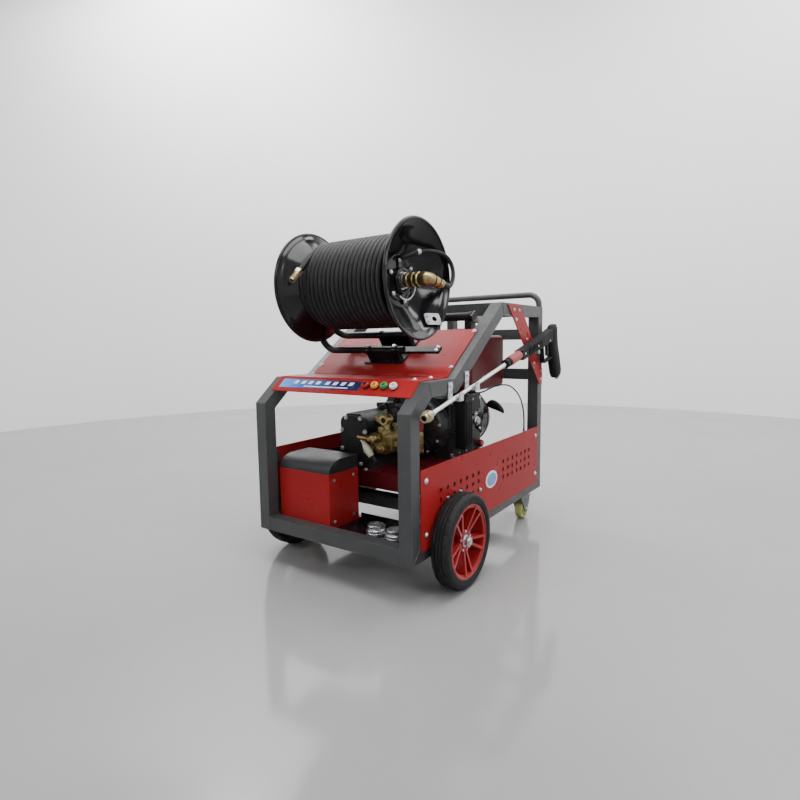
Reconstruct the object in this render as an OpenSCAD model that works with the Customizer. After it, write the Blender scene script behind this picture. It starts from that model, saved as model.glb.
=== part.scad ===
// Drain jetter: an engine drives a plunger pump on a wheeled tube frame, with a hose reel on
// the sloped top and a spray gun racked on the right side.
// Millimetres, +Z up, front of the machine towards -Y, origin on the floor under the middle.

/* [Frame] */
// Outside width of the tube frame
frame_w = 634; // [610:1:680]
// Outside length of the tube frame
frame_l = 1028; // [1000:1:1080]
// Height of the frame from its underside to its top rail
frame_h = 780; // [760:1:820]
// Side of the square tube
tube = 45; // [40:1:48]
// Height of the front post
front_post_h = 441; // [425:1:455]
// Length of the chamfer above the front post
chamfer_run = 99; // [90:1:108]
// Height of the chamfer
chamfer_rise = 84; // [76:1:92]
// Length of the level shelf
shelf_l = 156; // [145:1:165]
// Length of the long slope, along the machine
slope_run = 358; // [345:1:372]
// Diameter of the push handle's tube
handle_d = 25; // [20:1:30]
// Height of the push handle's bar above the top rail
handle_rise = 55; // [45:1:80]

/* [Sheet metal] */
// Thickness of the panels
sheet_t = 3; // [2:0.5:4]
// Height of the side panels' top edge above the bottom rail
side_panel_h = 229; // [210:1:245]
// Diameter of the side panels' vent holes
vent_d = 16; // [10:1:20]
// Spacing of the vent holes
vent_pitch = 43; // [36:1:44]
// Width that the top panels lap onto each side tube
panel_lap = 16; // [10:1:25]
// Length of the sloped panel, along the slope
top_panel_l = 268; // [255:1:290]
// Length of the front panel down the chamfer
front_panel_l = 69; // [62:1:80]

/* [Wheels] */
// Diameter of the main wheels
wheel_d = 300; // [290:1:320]
// Width of the tyres
tyre_w = 62; // [54:1:70]
// Diameter of the rims
rim_d = 234; // [220:1:240]
// Diameter of the wheel axle
axle_d = 20; // [16:1:25]
// Gap between the front tray and the wheel axle
axle_clear = 3; // [3:1:20]
// Gap between the frame's side and the tyre
wheel_gap = 13; // [11:1:20]

/* [Casters] */
// Diameter of the caster wheels
caster_d = 80; // [70:1:84]
// Width of the caster wheels
caster_w = 32; // [26:1:36]
// Distance of the caster wheel behind its swivel
caster_trail = 32; // [28:1:36]
// Distance from the frame's back to the caster's swivel
caster_back = 107; // [100:1:120]

/* [Battery] */
// Width of the battery box
battery_box_w = 228; // [216:1:240]
// Depth of the battery box
battery_box_d = 150; // [142:1:154]
// Height of the battery box
battery_box_h = 185; // [165:1:200]
// Height of the battery box's lid
lid_h = 44; // [34:1:46]

/* [Engine] */
// Height of the crankshaft above the engine bed
crank_h = 127; // [122:1:140]
// Length of the crankcase
crankcase_l = 268; // [250:1:275]
// Diameter of the crankshaft's journals
journal_d = 40; // [34:1:44]
// Diameter of the flywheel
flywheel_d = 190; // [170:1:196]
// Diameter of the recoil starter's cover
recoil_d = 210; // [200:1:225]
// Width of the fuel tank
tank_w = 260; // [240:1:270]
// Length of the fuel tank
tank_l = 305; // [290:1:320]
// Height of the fuel tank
tank_h = 215; // [200:1:220]

/* [Pump] */
// Length of the pump
pump_l = 230; // [215:1:234]
// Width of the pump's crankcase
pump_w = 124; // [120:1:130]
// Width of the brass pump head
head_w = 90; // [80:1:96]
// Module of the reduction gears
gear_module = 3; // [2.9:0.05:3.05]
// Teeth of the engine's pinion
pinion_teeth = 24; // [23:1:25]
// Teeth of the pump's gear
gear_teeth = 56; // [54:1:57]

/* [Reel] */
// Height of the reel's axle above the slope
reel_n = 281; // [270:1:300]
// Distance of the reel's axle up the slope
reel_s = 138; // [130:1:150]
// Diameter of the reel's flanges
flange_d = 378; // [360:1:390]
// Width of the reel over its flanges
reel_w = 452; // [440:1:464]
// Diameter of the reel's barrel
barrel_d = 170; // [150:1:180]
// Width between the dish bottoms
dish_w = 300; // [288:1:310]
// Diameter of the reel's axle
reel_axle_d = 40; // [34:1:44]
// Diameter of the stand's tubes
stand_d = 25; // [22:1:28]
// Diameter of the guide roller
roller_d = 30; // [26:1:34]

/* [Hose] */
// Outside diameter of the jetting hose
hose_d = 17; // [14:0.5:17]
// Spacing of the hose's turns
hose_pitch = 17.6; // [17.6:0.1:18.4]
// Turns of the outer layer
hose_turns = 17; // [12:1:17]
// Radius of the outer layer, at the middle of the hose
layer_r = 139.5; // [134:0.5:142]
// Diameter of the jumper hose
jumper_d = 14; // [12:0.5:15]
// Diameter of the throttle cable
cable_d = 6; // [5:0.5:7]

/* [Gun] */
// Length of the lance and the gun together
gun_l = 1085; // [1060:1:1100]
// Angle of the racked lance
lance_a = 13; // [12:0.1:13.4]
// Diameter of the lance
lance_d = 14; // [12:1:16]
// Diameter of the nozzle socket's bore
socket_bore = 16; // [12:1:18]
// Diameter of the spray tips' stems
tip_d = 12; // [10:1:14]
// Spacing of the spray tips
tip_pitch = 35; // [32:1:38]

/* [Hidden] */
$fn = 64;

// Colours
charcoal = [0.22, 0.23, 0.24];
red = [0.62, 0.05, 0.06];
black = [0.06, 0.06, 0.07];
zinc = [0.75, 0.76, 0.78];
brass = [0.72, 0.58, 0.25];
steel = [0.60, 0.61, 0.63];
rubber = [0.10, 0.10, 0.10];

// Clearances: a running fit, a seat between two pieces of one body, and room between bodies
run_gap = 0.05;
seat_gap = 0.05;
clear_gap = 0.4;

// Frame
half_w = frame_w / 2;
inner_w = half_w - tube;
tip_inset = 24;
grip_drop = 211;
grip_heel = 34;
total_l = tip_inset + (gun_l + grip_heel) * cos(lance_a) + grip_drop * sin(lance_a);
front_y = -total_l / 2;
back_y = front_y + frame_l;
mid_y = (front_y + back_y) / 2;
base_z = wheel_d / 2 - tube / 2;
rail_z = base_z + tube;
top_z = base_z + frame_h;
post_z = base_z + front_post_h;
shelf_z = post_z + chamfer_rise;
chamfer_y = front_y + chamfer_run;
shelf_y = chamfer_y + shelf_l;
ridge_y = shelf_y + slope_run;
chamfer_a = atan2(chamfer_rise, chamfer_run);
chamfer_len = norm([chamfer_run, chamfer_rise]);
slope_a = atan2(top_z - shelf_z, slope_run);
side_loop = [[front_y, base_z], [front_y, post_z], [chamfer_y, shelf_z], [shelf_y, shelf_z],
    [ridge_y, top_z], [back_y, top_z], [back_y, base_z]];
panel_x = inner_w + panel_lap;
lug_t = 6;
lug = 40;
bearer_h = tube;
rear_rail_1 = 473;
rear_rail_2 = 643;

// Side panels
panel_drop = 14;
panel_top = rail_z + side_panel_h;
panel_y0 = front_y + tube + 1;
panel_y1 = back_y - tube - 1;
vent_rows = 3;
vent_columns = 7;
vent_z = rail_z + 85;
vent_row_pitch = 30;
vent_groups = [front_y + 159, back_y - 147 - (vent_columns - 1) * vent_pitch];
shelf_bolts = [chamfer_y + 24, shelf_y - 39];
side_bolts = [[panel_y0 + 28, panel_top - 36], [panel_y0 + 28, rail_z + 31],
    [panel_y1 - 28, panel_top - 36], [panel_y1 - 28, rail_z + 31]];

// Front tray's depth
tray_y = front_y + tube;
box_y = tray_y + 4;
box_back = box_y + battery_box_d;
tray_back = box_back + 7;

// Wheels, on an axle behind the tray
wheel_y = tray_back + axle_clear + axle_d / 2;
wheel_z = wheel_d / 2;
wheel_x = half_w + wheel_gap;
hub_d = 56;
hub_out = 42;
hub_in = wheel_gap - 6;
nut_d = 34;
spoke_pairs = 5;
spoke_spread = 11;
spoke_w = 13;
shoulder = 16;
spacer_d = 36;

// Casters
swivel_x = half_w - 55;
swivel_y = back_y - caster_back;
caster_r = caster_d / 2;
caster_y = swivel_y + caster_trail;
caster_plate_t = 4;
race_h = 9;
fork_z = base_z - caster_plate_t - race_h - clear_gap;
fork_t = 4;
fork_x = caster_w / 2 + 2.5;
kingpin_d = 14;
caster_bolt_d = 10;
pedal_y = caster_y + 28;
pedal_z = caster_r + 42;
pedal_pin_d = 6;

// Front tray and battery
tray_z = base_z + 28;
box_x = -inner_w + 8;
box_z = tray_z + battery_box_h;
box_wall = 2;
hinge_d = 5;
knuckle_l = 34;
lid_nose = 62;
knuckle_d = 11;
hinge_y = box_back + knuckle_d / 2 + clear_gap;
hinge_z = box_z + clear_gap;

// Engine bed and drive line
bed_x0 = -190;
bed_x1 = 140;
bed_t = 4;
bed_h = 58;
bed_z0 = rail_z + bearer_h + 35;
bed_z = bed_z0 + bed_h;
mount_d = 40;
engine_x = 5;
crank_z = bed_z + crank_h;
gear_drop = 17;
gear_reach = gear_module * (pinion_teeth + gear_teeth) / 2;
pump_x = engine_x - sqrt(gear_reach * gear_reach - gear_drop * gear_drop);
pump_z = crank_z - gear_drop;
pump_back = mid_y;
pump_y = pump_back - pump_l;
gear_case_l = 62;
engine_y = pump_back + gear_case_l;
engine_back = engine_y + crankcase_l;
bed_y0 = pump_y - 25;
bed_y1 = engine_back + 5;
bearers = [bed_y0 + 65, bed_y1 - 65];
case_wall = 8;
gear_w = 32;
gear_y = pump_back + (gear_case_l - gear_w) / 2;
gear_add = 0.7;
gear_ded = 1.2;
line_a = atan2(crank_z - pump_z, engine_x - pump_x);
crankcase_x0 = engine_x - 118;
crankcase_x1 = engine_x + 112;
crankcase_h = 236;
cylinder_tilt = -58;
head_r = 238;
fin_count = 6;
fin_pitch = 12;
crank_room = 190;
muffler_d = 90;
cleaner_z = bed_z + 240;
flywheel_w = 46;
shroud_l = 80;
shroud_d = recoil_d + 22;
shroud_y = engine_back;
recoil_y = shroud_y + shroud_l;
recoil_l = 34;
grip_l = 78;
grip_d = 22;
grip_x = engine_x + recoil_d / 2 - 6;
grip_y = recoil_y + 18;
grip_z = crank_z + 46;
// Fuel tank
tank_x1 = half_w - 117;
tank_x0 = tank_x1 - tank_w;
tank_y0 = ridge_y - 19;
tank_y1 = tank_y0 + tank_l;
tank_z = top_z - 117;
tank_r = 24;
hanger_t = 5;
hanger_w = 40;
hangers = [tank_y0 + 90, tank_y1 - 70];
neck_d = 50;
cap_d = 64;
cap_h = 26;
cap_x = (tank_x0 + tank_x1) / 2;
cap_y = (tank_y0 + tank_y1) / 2;
// Pump
pump_wall = 15;
eccentric = 12;
eccentric_d = 60;
cavity_d = eccentric_d + 2 * eccentric + 8;
pump_journal_d = 34;
pump_x0 = pump_x - pump_w / 2;
pump_x1 = pump_x + pump_w / 2;
pump_top = bed_z + 200;
head_x1 = pump_x1 + head_w;
cap_rows = 3;
head_inset = 8;
unloader_x = head_x1 + 72;
unloader_y = pump_y + 80;
knob_d = 36;
knob_h = 52;
knob_z = pump_z + 32;
tail_y = pump_y - 18;
tail_x = pump_x1 + 36;
tail_arm = 68;
cone_tilt = 142;
union_d = 63;
union_h = 29;
union_bore = 38;
unions = [[100, tray_y + 72], [180, tray_y + 66]];

// Reel, in the slope's own axes
reel_y = shelf_y + reel_s * cos(slope_a) - reel_n * sin(slope_a);
reel_z = shelf_z + reel_s * sin(slope_a) + reel_n * cos(slope_a);
dish_x = dish_w / 2;
rim_x = reel_w / 2;
bead_d = 11;
barrel_r = barrel_d / 2;
flange_r = flange_d / 2;
cone_t = 4;
hub_web = 12;
barrel_t = 4;
leg_x = rim_x + 36;
leg_bend = 46;
foot_s = 46;
foot_n = 44;
leg_a = atan2(foot_s, reel_n - foot_n);
leg_l = norm([foot_s, reel_n - foot_n]);
boss_d = 66;
boss_w = 30;
spigot_d = 26;
spigot_x = dish_x + 58;
collar_d = 56;
swivel_d = 44;
elbow_x = dish_x + 103;
tail_l = 115;
tail_drop = 7;
roller_s = 342;
roller_n = 7;
roller_x = inner_w - 31;
roller_pin_d = 10;

// The outer layer of hose: an even helix whose ends run straight for one hose diameter
loop_rings = 24;
hose_sides = 6;
tail_angle = 134;
wind_steps = hose_turns * loop_rings;
core_r = (layer_r - hose_d / 2 * sin(60)) * cos(180 / loop_rings) - clear_gap;
climb_l = 12;
climb_in = 18;
helix_a = atan(hose_pitch / (2 * PI * layer_r));
wind_x0 = flange_in(layer_r) - hose_d / 2 - 9;
end_x = wind_x0 - hose_turns * hose_pitch;
lead_l = 40;
sleeve_l = 48;
fitting_l = 48;
fitting_d = 27;
fitting_bore = 14;

// Gun rack
gun_x = half_w + 28;
tip_y = front_y + tip_inset;
tip_z = post_z - 12;
socket_l = 45;
socket_d = 32;
barrel_l = gun_l - 518;
gun_t = 36;
hook_t = 4;
hook_w = 25;
hooks = [front_y + 221, front_y + 330];
trigger_y = gun_l - 88;
trigger_z = -16;
pin_d = 6;
gun_low = 25;
peg_d = 12;
peg_y = back_y - 154;

// Spray tips on the chamfer
tip_s = chamfer_len - 32;
tip_x = 108;
grommet_d = 24;
grommet_t = 3;

// Route of the jumper hose, from the swivel's tail to the dish, in the reel's axes from the dish bottom
jumper_route = [[102, 146, -6], [100, 160, 12], [97, 167, 36], [93, 162, 60], [87, 148, 79],
    [79, 127, 90], [70, 104, 95], [61, 80, 96], [52, 57, 94], [43, 36, 90], [33, 18, 84],
    [23, 4, 77], [12, -6, 71]];
// Route of the throttle cable, from the top of the air cleaner
cable_start = [crankcase_x1 + 28, engine_y + 68, cleaner_z];
cable_route = [[0, 0, 8], [10, 4, 16], [30, 9, 17], [50, 16, 17], [70, 26, 22], [86, 42, 32],
    [98, 66, 40], [105, 100, 43], [108, 145, 41], [108, 190, 33], [108, 235, 17], [108, 278, -6],
    [108, 312, -36], [108, 336, -72], [108, 348, -112], [108, 350, -152], [108, 350, -190]];
cable_end = cable_start + cable_route[len(cable_route) - 1];

// Inner face of a flange at a radius
function flange_in(r) = dish_x - cone_t + (r - barrel_r) * (rim_x - dish_x) / (flange_r - barrel_r);

function unit(v) = v / norm(v);
function square_to(u, t) = unit(u - t * (u * t));
function right_of(v) = [v[1], -v[0]];
function turned(l) = [for (i = [len(l) - 1 : -1 : 0]) l[i]];

// Points of a clockwise loop moved inwards
function inset_loop(p, d) = [for (i = [0 : len(p) - 1])
    let (n = len(p), m = right_of(unit(p[i] - p[(i + n - 1) % n])),
        k = right_of(unit(p[(i + 1) % n] - p[i])))
    p[i] + d * (m + k) / (1 + m * k)];

// Points of an open path moved to its left, for bent sheet
function moved_path(p, d) = [for (i = [0 : len(p) - 1])
    let (last = len(p) - 1, m = right_of(unit(p[max(i, 1)] - p[max(i, 1) - 1])),
        k = right_of(unit(p[min(i, last - 1) + 1] - p[min(i, last - 1)])))
    p[i] - d * (m + k) / (1 + m * k)];

// Points of an arc about a centre, from one angle to another
function arc(c, r, a0, a1, n) = [for (i = [0 : n])
    c + r * [cos(a0 + (a1 - a0) * i / n), sin(a0 + (a1 - a0) * i / n)]];

// A rectangle with round corners
function round_box(lo, hi, r) = concat(arc([hi[0] - r, hi[1] - r], r, 0, 90, 6),
    arc([lo[0] + r, hi[1] - r], r, 90, 180, 6), arc([lo[0] + r, lo[1] + r], r, 180, 270, 6),
    arc([hi[0] - r, lo[1] + r], r, 270, 360, 6));

// Points of a spur gear with straight flanks, a tooth on its first axis
function gear_points(teeth) = [for (i = [0 : teeth - 1], q = [
        [-0.62, -gear_ded], [-0.30, gear_add], [0.30, gear_add], [0.62, -gear_ded]])
    let (r = gear_module * (teeth / 2 + q[1]), a = 360 * (i + q[0] * 0.45) / teeth)
    r * [cos(a), sin(a)]];
function gear_tip(teeth) = gear_module * (teeth / 2 + gear_add);

// Points between those of a route, on a smooth curve through them
function between(a, b, c, d, t) = 0.5 * (2 * b + (c - a) * t + (2 * a - 5 * b + 4 * c - d) * t * t
    + (3 * b - a - 3 * c + d) * t * t * t);
function smooth(p, n) = let (e = len(p) - 1) concat([for (i = [0 : e - 1], k = [0 : n - 1])
    between(p[max(i - 1, 0)], p[i], p[i + 1], p[min(i + 2, e)], k / n)], [p[e]]);

// A round tube of triangles along a list of points
function tangents(p) = [for (i = [0 : len(p) - 1])
    unit(p[min(i + 1, len(p) - 1)] - p[max(i - 1, 0)])];
function carried(t, u) = [for (i = 0, v = square_to(u, t[0]); i < len(t);
    i = i + 1, v = square_to(v, t[min(i, len(t) - 1)])) v];
function rings(p, d, n, s) = let (t = tangents(p))
    [for (i = [0 : len(p) - 1], k = [0 : n - 1])
        p[i] + d / 2 * (cos(360 * k / n) * s[i] + sin(360 * k / n) * cross(t[i], s[i]))];
function wall_faces(count, n) = [for (i = [0 : count - 2], k = [0 : n - 1])
    let (a = i * n + k, b = i * n + (k + 1) % n)
    each [[a, a + n, b], [b, a + n, b + n]]];
function cap_faces(count, n) = [for (k = [1 : n - 2])
    each [[0, k, k + 1], [(count - 1) * n, (count - 1) * n + k + 1, (count - 1) * n + k]]];

module tube_along(p, d, n, s)
    polyhedron(rings(p, d, n, s), concat(wall_faces(len(p), n), cap_faces(len(p), n)));
module cord(p, d, n) tube_along(p, d, n, carried(tangents(p), [1, 0, 0]));

// Shared shapes
module span(lo, hi) translate(lo) cube(hi - lo);
module rod_x(x0, x1, y, z, d) translate([x0, y, z]) rotate([0, 90, 0]) cylinder(d = d, h = x1 - x0);
module rod_y(y0, y1, x, z, d) translate([x, y0, z]) rotate([-90, 0, 0]) cylinder(d = d, h = y1 - y0);
module rod_z(z0, z1, x, y, d) translate([x, y, z0]) cylinder(d = d, h = z1 - z0);
module yz_plate(x0, t) translate([x0, 0, 0]) rotate([90, 0, 90]) linear_extrude(t) children();
module xz_plate(y0, t) translate([0, y0 + t, 0]) rotate([90, 0, 0]) linear_extrude(t) children();
module side_of(side) mirror([side < 0 ? 1 : 0, 0, 0]) children();
module both_sides() for (side = [-1, 1]) side_of(side) children();
module on_slope() translate([0, shelf_y, shelf_z]) rotate([slope_a, 0, 0]) children();
module on_chamfer() translate([0, front_y, post_z]) rotate([chamfer_a, 0, 0]) children();
module on_lance() translate([gun_x, tip_y, tip_z]) rotate([lance_a, 0, 0]) children();
module on_reel() translate([0, reel_y, reel_z]) children();

// A quarter bend of round tube from a point below its centre to one beside it, in XZ
module bend(r, d) rotate([90, 0, 0]) rotate([0, 0, 180]) rotate_extrude(angle = 90)
    translate([r, 0]) circle(d = d);

// A button head on its washer, standing along +Z
module bolt_head(d) {
    cylinder(d = 1.5 * d, h = 1.5);
    translate([0, 0, 1.5]) cylinder(d = d, h = 2);
    translate([0, 0, 3.5]) cylinder(d1 = d, d2 = 0.55 * d, h = 2.5);
}

// Frame pieces
module side_frame(side) color(charcoal) side_of(side) {
    difference() {
        yz_plate(inner_w, tube) difference() {
            polygon(side_loop);
            polygon(inset_loop(side_loop, tube));
        }
        rod_x(inner_w - 1, half_w + 1, wheel_y, wheel_z, axle_d + 2 * seat_gap);
    }
    for (b = side_bolts)
        span([half_w - lug_t, b[0] < mid_y ? front_y + tube : b[0] - lug / 2,
                b[1] < panel_top - lug ? rail_z : b[1] - lug / 2],
            [half_w, b[0] < mid_y ? b[0] + lug / 2 : back_y - tube, b[1] + lug / 2]);
    for (y = shelf_bolts)
        span([inner_w - lug, y - lug / 2, shelf_z - 8], [inner_w, y + lug / 2, shelf_z]);
}

module side_frame_left() side_frame(-1);
module side_frame_right() side_frame(1);

module cross_bar(y, z) span([-inner_w, y, z], [inner_w, y + tube, z + tube]);

module roller_bracket() on_slope() {
    span([roller_x + clear_gap, roller_s - 18, roller_n - 18], [roller_x + 6, roller_s + 18, roller_n + 14]);
    span([roller_x + clear_gap, roller_s - 18, roller_n - 18], [inner_w, roller_s + 18, roller_n - 12]);
    rod_x(roller_x - 30, roller_x + 6, roller_s, roller_n, roller_pin_d);
}

module cross_rails() color(charcoal) {
    cross_bar(front_y, base_z);
    cross_bar(back_y - tube, base_z);
    cross_bar(ridge_y, top_z - tube);
    for (h = [rear_rail_1, rear_rail_2]) cross_bar(back_y - tube, base_z + h);
    for (y = bearers)
        span([4 - half_w, y - tube / 2, rail_z], [half_w - 4, y + tube / 2, rail_z + bearer_h]);
    for (y = hangers) {
        span([-inner_w, y - hanger_w / 2, top_z - tube], [inner_w, y + hanger_w / 2, top_z - tube + hanger_t]);
        for (x = [tank_x0 + 50, tank_x1 - 50])
            span([x - 15, y - hanger_w / 2, tank_z], [x + 15, y + hanger_w / 2, top_z - tube]);
    }
    both_sides() roller_bracket();
    span([cable_end[0] - 12, cable_end[1] - 9, cable_end[2] - 20], [inner_w, cable_end[1] + 9, cable_end[2] - seat_gap]);
}

module base_tray() color(black) {
    difference() {
        span([-inner_w, tray_y, tray_z - sheet_t], [inner_w, tray_back, tray_z]);
        for (u = unions) rod_z(tray_z - sheet_t - 1, tray_z + 1, u[0], u[1], union_bore + 4);
    }
    span([box_x + battery_box_w + 6, tray_back - sheet_t, tray_z - sheet_t], [inner_w, tray_back, tray_z + 20]);
}

module side_panel(side) color(red) side_of(side) difference() {
    span([half_w, panel_y0, rail_z - panel_drop], [half_w + sheet_t, panel_y1, panel_top]);
    for (y = vent_groups, i = [0 : vent_columns - 1], k = [0 : vent_rows - 1])
        rod_x(half_w - 1, half_w + sheet_t + 1, y + i * vent_pitch, vent_z + k * vent_row_pitch, vent_d);
    rod_x(half_w - 1, half_w + sheet_t + 1, wheel_y, wheel_z, spacer_d + 6);
}

module side_panel_left() side_panel(-1);
module side_panel_right() side_panel(1);

module front_panel() color(red) {
    start = [front_y, post_z] + (chamfer_len - front_panel_l) * [cos(chamfer_a), sin(chamfer_a)];
    path = [start, [chamfer_y, shelf_z], [shelf_y, shelf_z]];
    difference() {
        yz_plate(-panel_x, 2 * panel_x) polygon(concat(path, turned(moved_path(path, sheet_t))));
        at_tips() translate([0, 0, -1]) cylinder(d = tip_d + 1, h = sheet_t + 2);
    }
    color(rubber) at_tips() translate([0, 0, sheet_t + seat_gap]) difference() {
        cylinder(d = grommet_d, h = grommet_t);
        translate([0, 0, -1]) cylinder(d = tip_d + 2 * run_gap, h = grommet_t + 2);
    }
}

module top_panel() color(red) on_slope() {
    span([-panel_x, sheet_t, 0], [panel_x, top_panel_l, sheet_t]);
    span([2 - inner_w, top_panel_l - sheet_t, -18], [inner_w - 2, top_panel_l, sheet_t]);
}

module push_handle() color(steel) {
    y = back_y + handle_d / 2 + 4;
    bar_z = top_z + handle_rise;
    leg = half_w - tube / 2;
    r = 1.8 * handle_d;
    both_sides() {
        rod_z(top_z - 150, bar_z - r, leg, y, handle_d);
        translate([leg - r, y, bar_z - r]) rotate([0, 180, 0]) bend(r, handle_d);
        for (z = [top_z - 130, top_z - 35]) span([leg - 11, back_y, z - 12], [leg + 11, y, z + 12]);
    }
    rod_x(r - leg, leg - r, y, bar_z, handle_d);
}

module panel_bolts() color(zinc) both_sides() {
    for (b = side_bolts) translate([half_w + sheet_t, b[0], b[1]]) rotate([0, 90, 0]) bolt_head(12);
    for (y = shelf_bolts) translate([inner_w - lug / 2, y, shelf_z + sheet_t]) bolt_head(12);
    on_slope() for (s = [54, top_panel_l - 12])
        translate([inner_w + panel_lap / 2, s, sheet_t]) bolt_head(min(10, panel_lap * 0.6));
}

// Wheels
module axle_nut(x, d, w, sides) difference() {
    translate([x, wheel_y, wheel_z]) rotate([0, 90, 0]) cylinder(d = d, h = w, $fn = sides);
    rod_x(x - 1, x + w + 1, wheel_y, wheel_z, axle_d + 2 * seat_gap);
}

module wheel_axle() color(zinc) {
    rod_x(-wheel_x - tyre_w, wheel_x + tyre_w, wheel_y, wheel_z, axle_d);
    both_sides() {
        axle_nut(half_w, spacer_d, wheel_gap - hub_in - clear_gap, 64);
        axle_nut(wheel_x + hub_out + clear_gap, nut_d + 6, 2.5, 64);
        axle_nut(wheel_x + hub_out + clear_gap + 2.5, nut_d, 13, 6);
    }
}

module wheel_place(side) side_of(side) translate([wheel_x, wheel_y, wheel_z]) rotate([0, 90, 0]) children();

// Two spokes that part from each other on the way to the rim
function spoke_edge(r, k) = r * [cos(spoke_spread), sin(spoke_spread)]
    + k * spoke_w / 2 * [-sin(spoke_spread), cos(spoke_spread)];
module spoke_pair() {
    upper = [spoke_edge(hub_d / 2 - 10, 1), spoke_edge(rim_d / 2 - 6, 1), spoke_edge(rim_d / 2 - 6, -1)];
    crotch = [spoke_w / 2 / sin(spoke_spread), 0];
    polygon(concat(upper, [crotch], [for (p = turned(upper)) [p[0], -p[1]]]));
}

module rim(side) color(red) wheel_place(side) difference() {
    union() {
        translate([0, 0, -hub_in]) rotate([0, 0, 180 / spoke_pairs]) cylinder(d = hub_d, h = hub_in + hub_out);
        rotate_extrude() polygon([[rim_d / 2 - 13, 9], [rim_d / 2, 5], [rim_d / 2, tyre_w - 5],
            [rim_d / 2 - 13, tyre_w - 9]]);
        for (i = [0 : spoke_pairs - 1])
            rotate([0, 0, 360 * i / spoke_pairs]) translate([0, 0, 16]) linear_extrude(hub_out - 20) spoke_pair();
    }
    translate([0, 0, -hub_in - 1]) cylinder(d = axle_d + 2 * run_gap, h = hub_in + hub_out + 2);
}

module tyre(side) color(rubber) wheel_place(side) rotate_extrude()
    polygon(concat([[rim_d / 2 + seat_gap, tyre_w - 5], [rim_d / 2 + seat_gap, 5]],
        arc([wheel_d / 2 - shoulder, shoulder], shoulder, -90, 0, 6),
        arc([wheel_d / 2 - shoulder, tyre_w - shoulder], shoulder, 0, 90, 6)));

module rim_left() rim(-1);
module rim_right() rim(1);
module tyre_left() tyre(-1);
module tyre_right() tyre(1);

// Casters
module caster_plates() color(zinc) both_sides() {
    span([swivel_x - 45, swivel_y - 42, base_z - caster_plate_t], [swivel_x + 45, swivel_y + 42, base_z]);
    rod_z(base_z - caster_plate_t - race_h, base_z - caster_plate_t, swivel_x, swivel_y, 52);
    rod_z(fork_z - 12, base_z - caster_plate_t - race_h, swivel_x, swivel_y, kingpin_d);
}

module caster_fork(side) color(zinc) side_of(side) translate([swivel_x, 0, 0]) {
    difference() {
        union() {
            rod_z(fork_z - 6, fork_z, 0, swivel_y, 60);
            for (k = [-1, 1]) yz_plate(k * (fork_x + fork_t / 2) - fork_t / 2, fork_t)
                polygon([[swivel_y - 20, fork_z], [swivel_y + 22, fork_z], [pedal_y + 9, pedal_z + 9],
                    [pedal_y + 9, pedal_z - 8], [caster_y + 12, caster_r - 10],
                    [caster_y - 12, caster_r - 10], [swivel_y - 20, fork_z - 16]]);
        }
        rod_z(fork_z - 7, fork_z + 1, 0, swivel_y, kingpin_d + 2 * run_gap);
    }
    rod_x(-fork_x - fork_t - 4, fork_x + fork_t + 4, caster_y, caster_r, caster_bolt_d);
    rod_x(-fork_x - fork_t, fork_x + fork_t, pedal_y, pedal_z, pedal_pin_d);
}

module caster_wheel(side) color([0.75, 0.78, 0.35]) side_of(side) translate([swivel_x - caster_w / 2, caster_y, caster_r])
    rotate([0, 90, 0]) rotate_extrude() polygon(concat(
        [[caster_bolt_d / 2 + run_gap, caster_w], [caster_bolt_d / 2 + run_gap, 0]],
        arc([caster_r - 6, 6], 6, -90, 0, 5), arc([caster_r - 6, caster_w - 6], 6, 0, 90, 5)));

module caster_brake(side) color(red) side_of(side) translate([swivel_x, 0, 0]) difference() {
    union() {
        rod_x(-caster_w / 2, caster_w / 2, pedal_y, pedal_z, 15);
        yz_plate(-caster_w / 2, caster_w) polygon([[pedal_y, pedal_z + 7.5], [pedal_y + 30, pedal_z + 11],
            [pedal_y + 46, pedal_z + 4], [pedal_y + 46, pedal_z], [pedal_y + 30, pedal_z + 6],
            [pedal_y + 4, pedal_z]]);
    }
    rod_x(-caster_w, caster_w, pedal_y, pedal_z, pedal_pin_d + 2 * run_gap);
}

module caster_fork_left() caster_fork(-1);
module caster_fork_right() caster_fork(1);
module caster_wheel_left() caster_wheel(-1);
module caster_wheel_right() caster_wheel(1);
module caster_brake_left() caster_brake(-1);
module caster_brake_right() caster_brake(1);

// Battery box with a lid on a pin at its back
module battery_box() color(red) {
    x1 = box_x + battery_box_w;
    difference() {
        span([box_x, box_y, tray_z], [x1, box_back, box_z]);
        span([box_x + box_wall, box_y + box_wall, tray_z + box_wall], [x1 - box_wall, box_back - box_wall, box_z + 1]);
    }
    for (x = [box_x + 12, x1 - 12 - knuckle_l]) {
        rod_x(x, x + knuckle_l, hinge_y, hinge_z, knuckle_d);
        span([x, box_back, hinge_z - 24], [x + knuckle_l, hinge_y, box_z]);
    }
    rod_x(box_x + 12, x1 - 12, hinge_y, hinge_z, hinge_d);
}

function lid_outline(inset) = concat([[box_back - inset, hinge_z - (inset > 0 ? 1 : 0)],
        [box_y + inset, hinge_z - (inset > 0 ? 1 : 0)]],
    [for (a = [0 : 10 : 90]) [box_y + lid_nose - (lid_nose - inset) * cos(a), hinge_z + (lid_h - inset) * sin(a)]],
    [[box_back - inset, hinge_z + lid_h - inset]]);

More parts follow.
